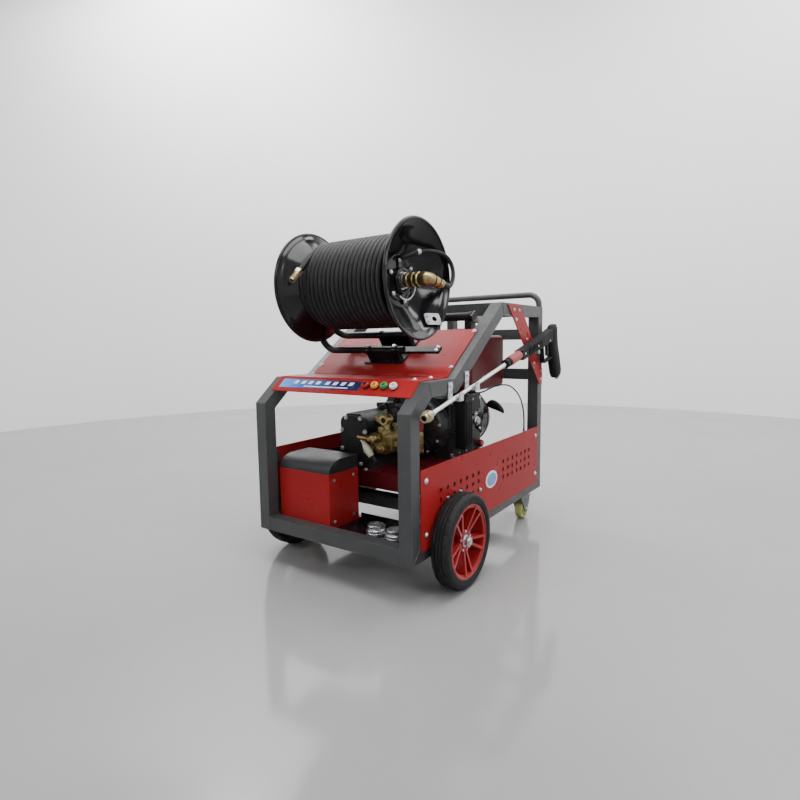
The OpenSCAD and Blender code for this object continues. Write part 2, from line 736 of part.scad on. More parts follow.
module battery_lid() color(charcoal) {
    difference() {
        yz_plate(box_x, battery_box_w) polygon(lid_outline(0));
        yz_plate(box_x + box_wall, battery_box_w - 2 * box_wall) polygon(lid_outline(box_wall));
    }
    x0 = box_x + 12 + knuckle_l + clear_gap;
    x1 = box_x + battery_box_w - 12 - knuckle_l - clear_gap;
    difference() {
        union() {
            rod_x(x0, x1, hinge_y, hinge_z, knuckle_d);
            span([x0, box_back - box_wall, hinge_z], [x1, hinge_y, hinge_z + knuckle_d / 2]);
        }
        rod_x(x0 - 1, x1 + 1, hinge_y, hinge_z, hinge_d + 2 * run_gap);
    }
}

module battery() color(black) {
    margin = box_wall + 6;
    x1 = box_x + battery_box_w;
    span([box_x + margin, box_y + margin, tray_z + box_wall], [x1 - margin, box_back - margin, box_z - 26]);
    for (x = [box_x + 40, x1 - 40]) rod_z(box_z - 26, box_z - 10, x, box_y + battery_box_d / 2, 16);
}

// Engine bed on rubber mounts
module engine_bed() {
    color(red) {
        difference() {
            span([bed_x0, bed_y0, bed_z0], [bed_x1, bed_y1, bed_z]);
            span([bed_x0 + bed_t, bed_y0 + bed_t, bed_z0 - 1], [bed_x1 - bed_t, bed_y1 - bed_t, bed_z - bed_t]);
        }
        for (y = bearers) span([bed_x0, y - 30, bed_z0], [bed_x1, y + 30, bed_z0 + bed_t]);
    }
    color(rubber) for (y = bearers, x = [bed_x0 + 35, bed_x1 - 35])
        rod_z(rail_z + bearer_h, bed_z0 - seat_gap, x, y, mount_d);
}

// Engine
module on_cylinder() translate([engine_x, engine_y + 120, crank_z]) rotate([0, cylinder_tilt, 0]) children();

module engine_block() color(black) difference() {
    union() {
        span([crankcase_x0, engine_y, bed_z], [crankcase_x1, engine_back, bed_z + crankcase_h]);
        on_cylinder() {
            span([-55, -55, 60], [55, 55, head_r]);
            for (i = [0 : fin_count - 1]) span([-68, -68, 128 + i * fin_pitch], [68, 68, 132 + i * fin_pitch]);
            span([-60, -62, head_r - 34], [60, 62, head_r]);
            span([-48, -46, head_r], [48, 46, head_r + 24]);
        }
    }
    rod_y(engine_y + 14, engine_back - 14, engine_x, crank_z, crank_room);
    rod_y(engine_y - 1, engine_back + 1, engine_x, crank_z, journal_d + 2 * run_gap);
}

module gear(teeth, x, z, turn) translate([x, gear_y + gear_w, z]) rotate([90, 0, 0]) rotate([0, 0, turn])
    linear_extrude(gear_w) polygon(gear_points(teeth));

module engine_crank() color(steel) {
    gear(pinion_teeth, engine_x, crank_z, line_a + 180 + 180 / pinion_teeth);
    rod_y(gear_y - 6, engine_y + 80, engine_x, crank_z, journal_d);
    rod_y(engine_y + 80, engine_y + 98, engine_x, crank_z, 130);
    rod_y(engine_y + 98, engine_y + 138, engine_x, crank_z + 36, 40);
    rod_y(engine_y + 138, engine_y + 156, engine_x, crank_z, 130);
    rod_y(engine_y + 156, engine_back + 8, engine_x, crank_z, journal_d);
    rod_y(engine_back + 8, engine_back + 8 + flywheel_w, engine_x, crank_z, flywheel_d);
    rod_y(engine_back + 8 + flywheel_w, engine_back + 18 + flywheel_w, engine_x, crank_z, 70);
}

module engine_shroud() color(black) difference() {
    rod_y(shroud_y, recoil_y, engine_x, crank_z, shroud_d);
    rod_y(shroud_y + 4, recoil_y + 1, engine_x, crank_z, shroud_d - 12);
    rod_y(shroud_y - 1, shroud_y + 5, engine_x, crank_z, journal_d + 30);
}

module recoil_starter() color(black) difference() {
    union() {
        rod_y(recoil_y, recoil_y + 4, engine_x, crank_z, shroud_d);
        rod_y(recoil_y + 4, recoil_y + recoil_l - 8, engine_x, crank_z, recoil_d);
        translate([engine_x, recoil_y + recoil_l - 8, crank_z]) rotate([-90, 0, 0])
            cylinder(d1 = recoil_d, d2 = recoil_d - 30, h = 8);
        rod_x(engine_x + recoil_d / 2 - 30, grip_x - clear_gap, grip_y, grip_z, 18);
    }
    rod_y(recoil_y - 1, recoil_y + recoil_l - 12, engine_x, crank_z, recoil_d - 8);
    for (i = [0 : 11]) rotate_at(engine_x, crank_z, 30 * i)
        rod_y(recoil_y + 10, recoil_y + recoil_l + 1, 62, 0, 20);
}

module rotate_at(x, z, a) translate([x, 0, z]) rotate([0, a, 0]) children();

module recoil_handle() color(black) {
    rod_x(grip_x, grip_x + grip_l, grip_y, grip_z, grip_d);
    rod_x(grip_x + grip_l, grip_x + grip_l + 6, grip_y, grip_z, grip_d + 4);
}

module muffler() color(steel) on_cylinder() {
    translate([60 + seat_gap, 0, head_r - 12]) rotate([0, 90, 0]) cylinder(d = 32, h = 26);
    translate([60 + 24 + muffler_d / 2, -75, head_r - 12]) rotate([-90, 0, 0]) cylinder(d = muffler_d, h = 150);
}

module intake() color(black) {
    x0 = crankcase_x1 + seat_gap;
    span([x0, engine_y + 38, bed_z + 35], [x0 + 48, engine_y + 98, cleaner_z]);
    rod_y(engine_y + 98, engine_y + 143, x0 + 24, bed_z + 136, 40);
    span([x0, engine_y + 143, bed_z + 108], [x0 + 44, engine_y + 193, bed_z + 164]);
}

module fuel_tank() color(red) {
    yz_plate(tank_x0, tank_w) polygon(round_box([tank_y0, tank_z - tank_h], [tank_y1, tank_z], tank_r));
    rod_z(tank_z - 1, tank_z + 18, cap_x, cap_y, neck_d);
}

module fuel_cap() color(black) difference() {
    rod_z(tank_z + 3, tank_z + 3 + cap_h, cap_x, cap_y, cap_d);
    rod_z(tank_z, tank_z + 18 + clear_gap, cap_x, cap_y, neck_d + 2 * run_gap);
}

// Reduction gear and pump
module case_outline(wall) {
    r = gear_tip(pinion_teeth) + 5 + wall;
    translate([pump_x, pump_z]) circle(r = gear_tip(gear_teeth) + 5 + wall);
    translate([engine_x, crank_z]) circle(r = r);
    translate([pump_x, pump_z]) rotate([0, 0, line_a]) translate([0, -r]) square([gear_reach, 2 * r]);
}

module gear_case() color(black) difference() {
    xz_plate(pump_back + seat_gap, gear_case_l - 2 * seat_gap) case_outline(6);
    xz_plate(pump_back + case_wall, gear_case_l - 2 * case_wall) case_outline(0);
    rod_y(pump_back - 1, pump_back + case_wall + 1, pump_x, pump_z, pump_journal_d + 4);
    rod_y(engine_y - case_wall - 1, engine_y + 1, engine_x, crank_z, journal_d + 4);
}

module pump_crankcase() color(black) {
    difference() {
        union() {
            xz_plate(pump_y, pump_l) polygon([[pump_x0, bed_z], [pump_x0, pump_top - 26], [pump_x0 + 26, pump_top],
                [pump_x1 - 40, pump_top], [pump_x1, pump_top - 24], [pump_x1, bed_z]]);
            rod_y(pump_y - 8, pump_y, pump_x, pump_z, 104);
        }
        rod_y(pump_y + pump_wall, pump_back - pump_wall, pump_x, pump_z, cavity_d);
        rod_y(pump_y, pump_back + 1, pump_x, pump_z, pump_journal_d + 2 * run_gap);
    }
    for (x = [pump_x0 + 9, pump_x1 - 9], z = [bed_z + 18, pump_z + 8, pump_top - 38])
        rod_y(pump_y - 6, pump_y, x, z, 12);
}

module pump_crank() color(steel) {
    throw_l = (pump_l - 2 * pump_wall - 4) / 3;
    rod_y(pump_y + clear_gap, gear_y + gear_w + 6, pump_x, pump_z, pump_journal_d);
    for (i = [0 : 2]) rotate_at(pump_x, pump_z, 120 * i)
        rod_y(pump_y + pump_wall + 2 + i * throw_l + 4, pump_y + pump_wall + 2 + (i + 1) * throw_l - 4,
            eccentric, 0, eccentric_d);
    gear(gear_teeth, pump_x, pump_z, line_a);
}

module pump_head() color(brass) {
    y0 = pump_y + head_inset;
    y1 = pump_back - head_inset;
    x0 = pump_x1 + seat_gap;
    span([x0, y0, pump_z - 50], [head_x1 - 22, y1, pump_z + 24]);
    span([head_x1 - 22, y0 + 10, pump_z - 36], [head_x1, y1 - 10, pump_z + 10]);
    for (i = [0 : cap_rows - 1]) let (y = y0 + (i + 0.5) * (y1 - y0) / cap_rows) {
        translate([x0 + 34, y, pump_z + 24]) cylinder(d = 44, h = 18, $fn = 6);
        translate([head_x1, y, pump_z - 13]) rotate([0, 90, 0]) cylinder(d = 38, h = 14, $fn = 6);
    }
    rod_y(pump_y - 6, y0, x0 + 14, pump_z - 28, 22);
}

module unloader() color(brass) {
    rod_x(head_x1 + seat_gap, unloader_x, unloader_y, pump_z - 13, 26);
    rod_z(pump_z - 46, knob_z - clear_gap, unloader_x, unloader_y, 34);
    rod_z(knob_z - 1, knob_z + 30, unloader_x, unloader_y, 10);
}

module unloader_knob() color(red) difference() {
    union() {
        rod_z(knob_z, knob_z + knob_h, unloader_x, unloader_y, knob_d);
        rod_z(knob_z + knob_h, knob_z + knob_h + 4, unloader_x, unloader_y, knob_d - 10);
    }
    rod_z(knob_z - 1, knob_z + 30 + clear_gap, unloader_x, unloader_y, 10 + 2 * run_gap);
}

module water_fittings() color(zinc) {
    for (u = unions) difference() {
        union() {
            rod_z(tray_z, tray_z + 14, u[0], u[1], union_d);
            rod_z(tray_z + 14, tray_z + union_h, u[0], u[1], union_d - 9);
        }
        rod_z(tray_z - 1, tray_z + union_h + 1, u[0], u[1], union_bore);
    }
    color(brass) {
        rod_y(tail_y - 15, pump_y + head_inset - seat_gap, tail_x, pump_z + 8, 26);
        rod_x(tail_x - tail_arm, tail_x, tail_y - 1, pump_z + 8, 18);
    }
    color([0.85, 0.84, 0.72]) translate([tail_x - tail_arm + 9, tail_y - 1, pump_z + 8]) rotate([0, cone_tilt, 0]) {
        translate([0, 0, 4]) cylinder(d = 16, h = 20);
        translate([0, 0, 24]) cylinder(d1 = 18, d2 = 28, h = 44);
        translate([0, 0, 68]) cylinder(d = 22, h = 12);
    }
}

module throttle_cable() color(rubber) let (start = cable_start + [0, 0, seat_gap])
    cord(concat([start], smooth([for (q = cable_route) cable_start + q], 3)), cable_d, 8);

// Reel stand: two bent tubes from the slope to a boss on the left, with a clamped base
module stand_tube(lean) translate([0, reel_s - lean * foot_s, foot_n]) rotate([-lean * leg_a, 0, 0]) {
    rod_x(leg_bend - leg_x, 90, 0, 0, stand_d);
    translate([leg_bend - leg_x, 0, leg_bend]) bend(leg_bend, stand_d);
    rod_z(leg_bend, leg_l - boss_d / 2 + 6, -leg_x, 0, stand_d);
}

module reel_stand() color(black) on_slope() {
    difference() {
        union() {
            stand_tube(1);
            stand_tube(-1);
            rod_x(-leg_x - boss_w / 2, -leg_x + boss_w / 2, reel_s, reel_n, boss_d);
        }
        rod_x(-leg_x - boss_w, -leg_x + boss_w, reel_s, reel_n, reel_axle_d + 2 * seat_gap);
    }
    span([-82, reel_s - foot_s - 26, sheet_t], [82, reel_s + foot_s + 26, sheet_t + 5]);
    for (k = [-1, 1]) span([-66, reel_s + k * foot_s - 12, sheet_t], [66, reel_s + k * foot_s + 12, foot_n]);
    span([80, reel_s - foot_s - 14, foot_n - 6], [rim_x + 9, reel_s - foot_s + 14, foot_n + 4]);
    for (x = [-48, 48], k = [-1, 1]) translate([x, reel_s + k * (foot_s + 19), sheet_t + 5]) cylinder(d = 14, h = 9, $fn = 6);
}

module reel_axle() color(zinc) on_reel() {
    rod_x(-leg_x - boss_w / 2 - 6, dish_x + 6, 0, 0, reel_axle_d);
    rod_x(dish_x + 6, spigot_x, 0, 0, spigot_d);
    for (side = [-1, 1]) side_of(side) {
        rod_x(dish_x + clear_gap, dish_x + 9, 0, 0, collar_d);
        rod_x(dish_x + 12, dish_x + 20, 0, 0, side > 0 ? collar_d - 6 : reel_axle_d);
    }
    rod_x(dish_x + 5, dish_x + 13, 0, 0, reel_axle_d);
}

module reel_drum() color(black) on_reel() rotate([0, 90, 0]) {
    difference() {
        cylinder(r = barrel_r, h = dish_w, center = true);
        cylinder(r = barrel_r - barrel_t, h = dish_w - 2 * hub_web, center = true);
        cylinder(d = reel_axle_d + 2 * run_gap, h = dish_w + 2, center = true);
    }
    for (k = [-1, 1]) rotate_extrude() {
        polygon([[barrel_r - barrel_t, k * dish_x], [barrel_r - barrel_t, k * (dish_x - hub_web)],
            [barrel_r, k * (dish_x - hub_web)], [barrel_r, k * flange_in(barrel_r)],
            [flange_r - bead_d / 2, k * flange_in(flange_r - bead_d / 2)],
            [flange_r - bead_d / 2, k * (flange_in(flange_r - bead_d / 2) + cone_t)], [barrel_r, k * dish_x]]);
        translate([flange_r - bead_d / 2, k * (rim_x - cone_t / 2 - 3)]) circle(d = bead_d);
    }
}

// Hose: lower layers as a plain core, the outer layer wound over it
module at_tail(x) translate([x, 0, 0]) rotate([tail_angle, 0, 0]) translate([0, layer_r, 0])
    rotate([0, -helix_a, 0]) children();

module hose_core() color(rubber) on_reel() {
    r0 = barrel_r + seat_gap;
    rotate([0, 90, 0]) rotate_extrude() polygon([[r0, clear_gap - flange_in(r0)], [core_r, clear_gap - flange_in(core_r)],
        [core_r, flange_in(core_r) - clear_gap], [r0, flange_in(r0) - clear_gap]]);
    at_tail(wind_x0) span([1 - hose_d / 2, -climb_in, -hose_d - climb_l], [3, hose_d / 2, -hose_d - seat_gap]);
}

function wind_point(i) = let (a = tail_angle + 360 * i / loop_rings)
    [wind_x0 - hose_pitch * i / loop_rings, layer_r * cos(a), layer_r * sin(a)];
tail_way = [-sin(helix_a), -cos(helix_a) * sin(tail_angle), cos(helix_a) * cos(tail_angle)];
wind_points = concat([wind_point(0) - hose_d * tail_way], [for (i = [0 : wind_steps]) wind_point(i)],
    [wind_point(wind_steps) + lead_l * tail_way]);
wind_sides = [for (t = tangents(wind_points)) square_to([1, 0, 0], t)];
wind_rings = rings(wind_points, hose_d, hose_sides, wind_sides);
wind_gap = min([for (i = [0 : wind_steps - loop_rings + 1], k = [0 : hose_sides - 1], m = [0 : hose_sides - 1])
    norm(wind_rings[i * hose_sides + k] - wind_rings[(i + loop_rings) * hose_sides + m])]);
echo(least_hose_gap = wind_gap);

module hose_winding() color(rubber) on_reel() tube_along(wind_points, hose_d, hose_sides, wind_sides);

module hose_fitting() on_reel() at_tail(end_x) {
    color(charcoal) translate([0, 0, lead_l + seat_gap]) cylinder(d = hose_d + 2, h = sleeve_l);
    color(brass) translate([0, 0, lead_l + sleeve_l]) difference() {
        union() {
            cylinder(d = fitting_d, h = 18, $fn = 6);
            cylinder(d = fitting_d - 5, h = fitting_l);
        }
        translate([0, 0, fitting_l - 30]) cylinder(d = fitting_bore, h = 31);
    }
}

module swivel_joint() color(brass) on_reel() {
    difference() {
        union() {
            rod_x(dish_x + 22, elbow_x, 0, 0, swivel_d);
            translate([elbow_x, 0, 0]) sphere(d = swivel_d);
            translate([elbow_x, 0, 0]) rotate([-tail_drop, 0, 0]) {
                rod_y(0, tail_l, 0, 0, 22);
                rod_y(26, 50, 0, 0, 34);
                rod_y(60, 84, 0, 0, 28);
            }
        }
        rod_x(dish_x + 20, spigot_x + clear_gap, 0, 0, spigot_d + 2 * run_gap);
    }
}

module jumper_hose() color(rubber) on_reel() {
    way = [0, cos(tail_drop), -sin(tail_drop)];
    start = [elbow_x, 0, 0] + (tail_l + seat_gap) * way;
    last = jumper_route[len(jumper_route) - 1];
    bends = concat([start + jumper_d * way], [for (q = jumper_route) [dish_x, 0, 0] + q]);
    cord(concat([start], smooth(bends, 3), [[dish_x + seat_gap, last[1], last[2]]]), jumper_d, 10);
}

module guide_roller() color(black) on_slope() difference() {
    rod_x(-roller_x, roller_x, roller_s, roller_n, roller_d);
    rod_x(-roller_x - 1, roller_x + 1, roller_s, roller_n, roller_pin_d + 2 * run_gap);
}

// Gun rack, gun and lance
function lance_at(y) = tip_z + (y - tip_y) * tan(lance_a);

module lance_hook(y, top) {
    seat = lance_at(y) - lance_d / 2 / cos(lance_a) - hook_w / 2 * tan(lance_a) - clear_gap;
    span([half_w, y - hook_w / 2, seat - hook_t], [half_w + hook_t, y + hook_w / 2, top]);
    span([half_w, y - hook_w / 2, seat - hook_t], [gun_x + lance_d / 2 + 8, y + hook_w / 2, seat]);
    span([gun_x + lance_d / 2 + 4, y - hook_w / 2, seat - hook_t], [gun_x + lance_d / 2 + 8, y + hook_w / 2, seat + 22]);
}

module gun_rack() {
    color(charcoal) {
        lance_hook(hooks[0], shelf_z - 8);
        lance_hook(hooks[1], shelf_z + 20);
    }
    color(red) yz_plate(half_w, hook_t) polygon([[ridge_y + 42, top_z - 6], [ridge_y + 166, top_z - 6],
        [back_y - 4, top_z - 262], [back_y - 4, top_z - 326], [back_y - 36, top_z - 326]]);
    color(charcoal) rod_x(half_w + hook_t, gun_x + gun_t / 2, peg_y,
        lance_at(peg_y) - (gun_low + peg_d / 2) / cos(lance_a) - clear_gap, peg_d);
}

module spray_gun() color(charcoal) on_lance() {
    difference() {
        union() {
            rod_y(barrel_l, gun_l - 380, 0, 0, 34);
            yz_plate(-gun_t / 2, gun_t) polygon([[gun_l - 385, -gun_low], [gun_l - 385, 22], [gun_l - 60, 28],
                [gun_l + 10, 34], [gun_l + 22, 12], [gun_l + 12, -22], [gun_l + grip_heel, -grip_drop],
                [gun_l - 14, -grip_drop], [gun_l - 34, -62], [gun_l - 40, -gun_low]]);
            yz_plate(-gun_t / 4, gun_t / 2) difference() {
                polygon([[gun_l - 152, -gun_low + 1], [gun_l - 40, -gun_low + 1], [gun_l - 30, -62], [gun_l - 24, -100],
                    [gun_l - 138, -100], [gun_l - 152, -86]]);
                polygon([[gun_l - 144, -gun_low], [gun_l - 42, -gun_low], [gun_l - 36, -62], [gun_l - 32, -92],
                    [gun_l - 134, -92], [gun_l - 144, -82]]);
            }
        }
        span([-8, trigger_y - 16, -gun_low - 1], [8, trigger_y + 26, trigger_z + 12]);
    }
    rod_x(-gun_t / 2 + 2, gun_t / 2 - 2, trigger_y, trigger_z, pin_d);
}

module gun_trigger() color(black) on_lance() translate([0, trigger_y, trigger_z]) difference() {
    yz_plate(-6, 12) {
        circle(r = 8);
        polygon([[-7, 0], [7, 0], [6, -30], [-2, -62], [-10, -64], [-7, -30]]);
    }
    rod_x(-10, 10, 0, 0, pin_d + 2 * run_gap);
}

module lance() on_lance() {
    color(brass) difference() {
        rod_y(0, socket_l, 0, 0, socket_d);
        rod_y(-1, 24, 0, 0, socket_bore);
    }
    color(zinc) rod_y(socket_l + seat_gap, barrel_l - seat_gap, 0, 0, lance_d);
}

// Spray tips in their grommets
module tip_place(i) on_chamfer() translate([tip_x + i * tip_pitch, tip_s, 0]) children();
module at_tips() for (i = [0 : 3]) tip_place(i) children();

module spray_tip(i, paint) color(paint) tip_place(i) {
    translate([0, 0, -14]) cylinder(d = tip_d, h = 14 + sheet_t + grommet_t + 12);
    translate([0, 0, sheet_t + grommet_t + clear_gap]) cylinder(d = tip_d + 8, h = 8);
}

module tip_red() spray_tip(0, red);
module tip_yellow() spray_tip(1, [0.85, 0.60, 0.10]);
module tip_green() spray_tip(2, [0.10, 0.45, 0.20]);
module tip_white() spray_tip(3, [0.90, 0.90, 0.88]);

side_frame_left();
side_frame_right();
cross_rails();
base_tray();
side_panel_left();
side_panel_right();
front_panel();
top_panel();
push_handle();
panel_bolts();
wheel_axle();
tyre_left();
rim_left();
tyre_right();
rim_right();
caster_plates();
caster_fork_left();
caster_fork_right();
caster_wheel_left();
caster_wheel_right();
caster_brake_left();
caster_brake_right();
battery_box();
battery_lid();
battery();
engine_bed();
engine_block();
engine_crank();
engine_shroud();
recoil_starter();
recoil_handle();
muffler();
intake();
fuel_tank();
fuel_cap();
gear_case();
pump_crankcase();
pump_crank();
pump_head();
unloader();
unloader_knob();
water_fittings();
throttle_cable();
reel_stand();
reel_axle();
reel_drum();
hose_core();
hose_winding();
hose_fitting();
swivel_joint();
jumper_hose();
guide_roller();
gun_rack();
spray_gun();
gun_trigger();
lance();
tip_red();
tip_yellow();
tip_green();
tip_white();
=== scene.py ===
"""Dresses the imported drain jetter: materials, hose, cables and fine parts, in the solids' own frame."""

import math

import bmesh
import bpy
from mathutils import Matrix, Vector


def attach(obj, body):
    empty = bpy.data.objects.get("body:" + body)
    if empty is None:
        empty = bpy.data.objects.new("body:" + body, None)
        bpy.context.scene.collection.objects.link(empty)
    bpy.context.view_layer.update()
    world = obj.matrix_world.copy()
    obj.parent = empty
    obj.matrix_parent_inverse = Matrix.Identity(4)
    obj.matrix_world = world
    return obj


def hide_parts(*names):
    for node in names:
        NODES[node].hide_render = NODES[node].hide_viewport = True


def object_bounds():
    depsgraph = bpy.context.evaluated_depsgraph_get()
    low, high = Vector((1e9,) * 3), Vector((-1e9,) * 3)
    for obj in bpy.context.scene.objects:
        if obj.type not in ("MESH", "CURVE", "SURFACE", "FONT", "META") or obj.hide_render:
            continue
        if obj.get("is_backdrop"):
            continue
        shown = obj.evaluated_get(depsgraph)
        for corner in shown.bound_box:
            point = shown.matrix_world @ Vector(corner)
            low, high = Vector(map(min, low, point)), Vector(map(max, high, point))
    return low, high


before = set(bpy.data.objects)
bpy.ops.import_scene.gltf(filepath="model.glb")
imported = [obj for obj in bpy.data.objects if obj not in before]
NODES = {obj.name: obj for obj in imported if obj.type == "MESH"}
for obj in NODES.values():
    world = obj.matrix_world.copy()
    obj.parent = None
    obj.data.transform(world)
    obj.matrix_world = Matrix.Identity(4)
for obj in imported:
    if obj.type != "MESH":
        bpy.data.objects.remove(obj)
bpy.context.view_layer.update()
MM = 0.001

# Main places of the machine, in millimetres
FRONT_Y = -580.885
BACK_Y = 447.115
HALF_W = 317.0
INNER_W = 272.0
BASE_Z = 127.5
POST_Z = 568.5
SHELF_Z = 652.5
TOP_Z = 907.5
CHAMFER_Y = -481.885
SHELF_Y = -325.885
RIDGE_Y = 32.115
SLOPE = math.atan2(TOP_Z - SHELF_Z, RIDGE_Y - SHELF_Y)
CHAMFER = math.atan2(SHELF_Z - POST_Z, CHAMFER_Y - FRONT_Y)
TUBE = 45.0
PANEL_X = HALF_W + 3
WHEEL_X = 330.0
WHEEL_Y = -361.885
WHEEL_Z = 150.0
REEL_Y = -376.511
REEL_Z = 961.437
DISH_X = 150.0
ENGINE_X = 5.0
CRANK_Z = 437.5
BED_Z = 310.5

# Camera, at the photograph's place
CAMERA_AT = (1.13418, -1.81591, 0.77225)
CAMERA_LENS = 24.333
YAW, PITCH, ROLL = (math.radians(a) for a in (34.58, 6.23, -0.77))


def make_camera():
    ahead = Vector((-math.sin(YAW) * math.cos(PITCH), math.cos(YAW) * math.cos(PITCH), -math.sin(PITCH)))
    right = Vector((math.cos(YAW), math.sin(YAW), 0.0))
    up = right.cross(ahead)
    side = math.cos(ROLL) * right + math.sin(ROLL) * up
    top = math.cos(ROLL) * up - math.sin(ROLL) * right
    data = bpy.data.cameras.new("camera")
    data.sensor_width = 36.0
    data.lens = CAMERA_LENS
    data.clip_start = 0.05
    data.clip_end = 60.0
    camera = bpy.data.objects.new("camera", data)
    camera.matrix_world = Matrix.Translation(CAMERA_AT) @ Matrix((side, top, -ahead)).transposed().to_4x4()
    bpy.context.scene.collection.objects.link(camera)
    bpy.context.scene.camera = camera


make_camera()

# Materials
FINISH = {}
NOISE_SPAN = (0.3, 0.7)
BUMP_HEIGHT = 0.0006
CHIP_SCALE = 70.0


def add_node(tree, kind, **values):
    """A shader node with values for its inputs, whose names have _ for a space."""
    made = tree.nodes.new("ShaderNode" + kind)
    for key, value in values.items():
        made.inputs[key.replace("_", " ")].default_value = value
    return made


def noise(tree, coords, scale, detail, rough=0.55):
    made = add_node(tree, "TexNoise", Scale=scale, Detail=detail, Roughness=rough)
    tree.links.new(coords, made.inputs["Vector"])
    return made.outputs["Fac"]


def ramp(tree, source, stops):
    made = add_node(tree, "ValToRGB")
    while len(made.color_ramp.elements) < len(stops):
        made.color_ramp.elements.new(0.5)
    for element, (at, colour) in zip(made.color_ramp.elements, stops):
        element.position = at
        element.color = (*colour, 1.0)
    tree.links.new(source, made.inputs["Fac"])
    return made.outputs["Color"]


def spread(tree, source, from_low, from_high, low=0.0, high=1.0):
    """Maps one range of values onto another."""
    made = add_node(tree, "MapRange", From_Min=from_low, From_Max=from_high, To_Min=low, To_Max=high)
    tree.links.new(source, made.inputs["Value"])
    return made.outputs["Result"]


def combine(tree, kind, operation, first, second):
    made = add_node(tree, kind)
    made.operation = operation
    tree.links.new(first, made.inputs[0])
    tree.links.new(second, made.inputs[1])
    return made.outputs["Value"]


def edge_mask(tree, width, chips):
    """Where the surface bends within a width, broken up by chips."""
    bevel = add_node(tree, "Bevel", Radius=width)
    bevel.samples = 4
    geometry = add_node(tree, "NewGeometry")
    bend = combine(tree, "VectorMath", "DOT_PRODUCT", bevel.outputs["Normal"], geometry.outputs["Normal"])
    return combine(tree, "Math", "MULTIPLY", spread(tree, bend, 0.985, 0.88), chips)


def surface(name, light, dark, patch, rough, grain, metal=0.0, wear=None, wear_width=0.0025,
            transmission=0.0, specular=0.5):
    """A finish with patches between two colours, uneven gloss, a grain, and wear along edges if given."""
    mat = bpy.data.materials.new(name)
    mat.use_nodes = True
    tree = mat.node_tree
    shader = tree.nodes["Principled BSDF"]
    coords = add_node(tree, "TexCoord").outputs["Object"]
    colour = ramp(tree, noise(tree, coords, patch, 5.0), [(0.32, dark), (0.68, light)])
    if wear is not None:
        chips = spread(tree, noise(tree, coords, CHIP_SCALE, 6.0, 0.7), *NOISE_SPAN)
        mix = add_node(tree, "Mix")
        mix.data_type = "RGBA"
        tree.links.new(edge_mask(tree, wear_width, chips), mix.inputs["Factor"])
        tree.links.new(colour, mix.inputs["A"])
        mix.inputs["B"].default_value = (*wear, 1.0)
        colour = mix.outputs["Result"]
    gloss = spread(tree, noise(tree, coords, patch * 5, 6.0, 0.6), *NOISE_SPAN, *rough)
    bump = add_node(tree, "Bump", Strength=grain[1], Distance=BUMP_HEIGHT)
    tree.links.new(noise(tree, coords, grain[0], 3.0), bump.inputs["Height"])
    for key, source in (("Base Color", colour), ("Roughness", gloss), ("Normal", bump.outputs["Normal"])):
        tree.links.new(source, shader.inputs[key])
    values = {"Metallic": metal, "Transmission Weight": transmission, "Specular IOR Level": specular}
    for key, value in values.items():
        shader.inputs[key].default_value = value
    FINISH[name] = mat


# Paints
surface("frame_paint", (0.043, 0.044, 0.046), (0.031, 0.032, 0.034), 7.0, (0.36, 0.5), (1500.0, 0.14),
        wear=(0.09, 0.092, 0.095))
surface("red_paint", (0.3, 0.017, 0.017), (0.245, 0.011, 0.013), 4.0, (0.26, 0.36), (1300.0, 0.06),
        wear=(0.34, 0.026, 0.026), wear_width=0.0009, specular=0.11)
# A darker copy of the red paint: painted shade, for red parts that lie in the machine's shadow (engine bed,
# tank, fan housing lip)
surface("shade_painted_red", (0.1, 0.007, 0.012), (0.07, 0.004, 0.008), 5.0, (0.26, 0.38), (1300.0, 0.06),
        wear=(0.16, 0.016, 0.02), specular=0.2)
surface("stand_paint", (0.009, 0.009, 0.01), (0.005, 0.005, 0.006), 6.0, (0.28, 0.4), (900.0, 0.04),
        wear=(0.03, 0.03, 0.033), specular=0.24)
# A darker copy of the frame paint: painted shade, for the battery lid inside the frame
surface("shade_painted_frame_paint", (0.019, 0.0195, 0.021), (0.013, 0.0135, 0.0145), 7.0, (0.36, 0.5), (1500.0, 0.14),
        wear=(0.05, 0.051, 0.053), specular=0.3)
surface("black_paint", (0.008, 0.008, 0.0095), (0.0045, 0.0045, 0.0055), 5.0, (0.1, 0.17), (900.0, 0.02),
        wear=(0.03, 0.03, 0.033), specular=0.34)
surface("engine_cast", (0.019, 0.019, 0.0205), (0.007, 0.007, 0.008), 18.0, (0.3, 0.5), (700.0, 0.3),
        wear=(0.06, 0.06, 0.064), specular=0.36)

# Metals
surface("zinc", (0.74, 0.75, 0.77), (0.52, 0.53, 0.55), 40.0, (0.22, 0.4), (1200.0, 0.06), metal=1.0)
# A darker copy of the zinc: painted shade, for the casters' plates, forks and brakes that lie in shade
surface("shade_painted_zinc", (0.2, 0.205, 0.21), (0.1, 0.103, 0.107), 40.0, (0.3, 0.46), (1200.0, 0.08), metal=1.0)
surface("chrome", (0.86, 0.86, 0.87), (0.76, 0.76, 0.78), 14.0, (0.06, 0.14), (1500.0, 0.02), metal=1.0)
surface("steel", (0.34, 0.34, 0.35), (0.22, 0.22, 0.23), 22.0, (0.3, 0.45), (1300.0, 0.1), metal=1.0)
surface("brass", (0.39, 0.305, 0.14), (0.25, 0.19, 0.08), 34.0, (0.24, 0.4), (900.0, 0.1), metal=1.0)
surface("pale_brass", (0.5, 0.44, 0.29), (0.32, 0.27, 0.16), 40.0, (0.22, 0.4), (900.0, 0.1), metal=1.0)
surface("copper", (0.5, 0.24, 0.1), (0.34, 0.15, 0.06), 40.0, (0.3, 0.5), (900.0, 0.1), metal=1.0)

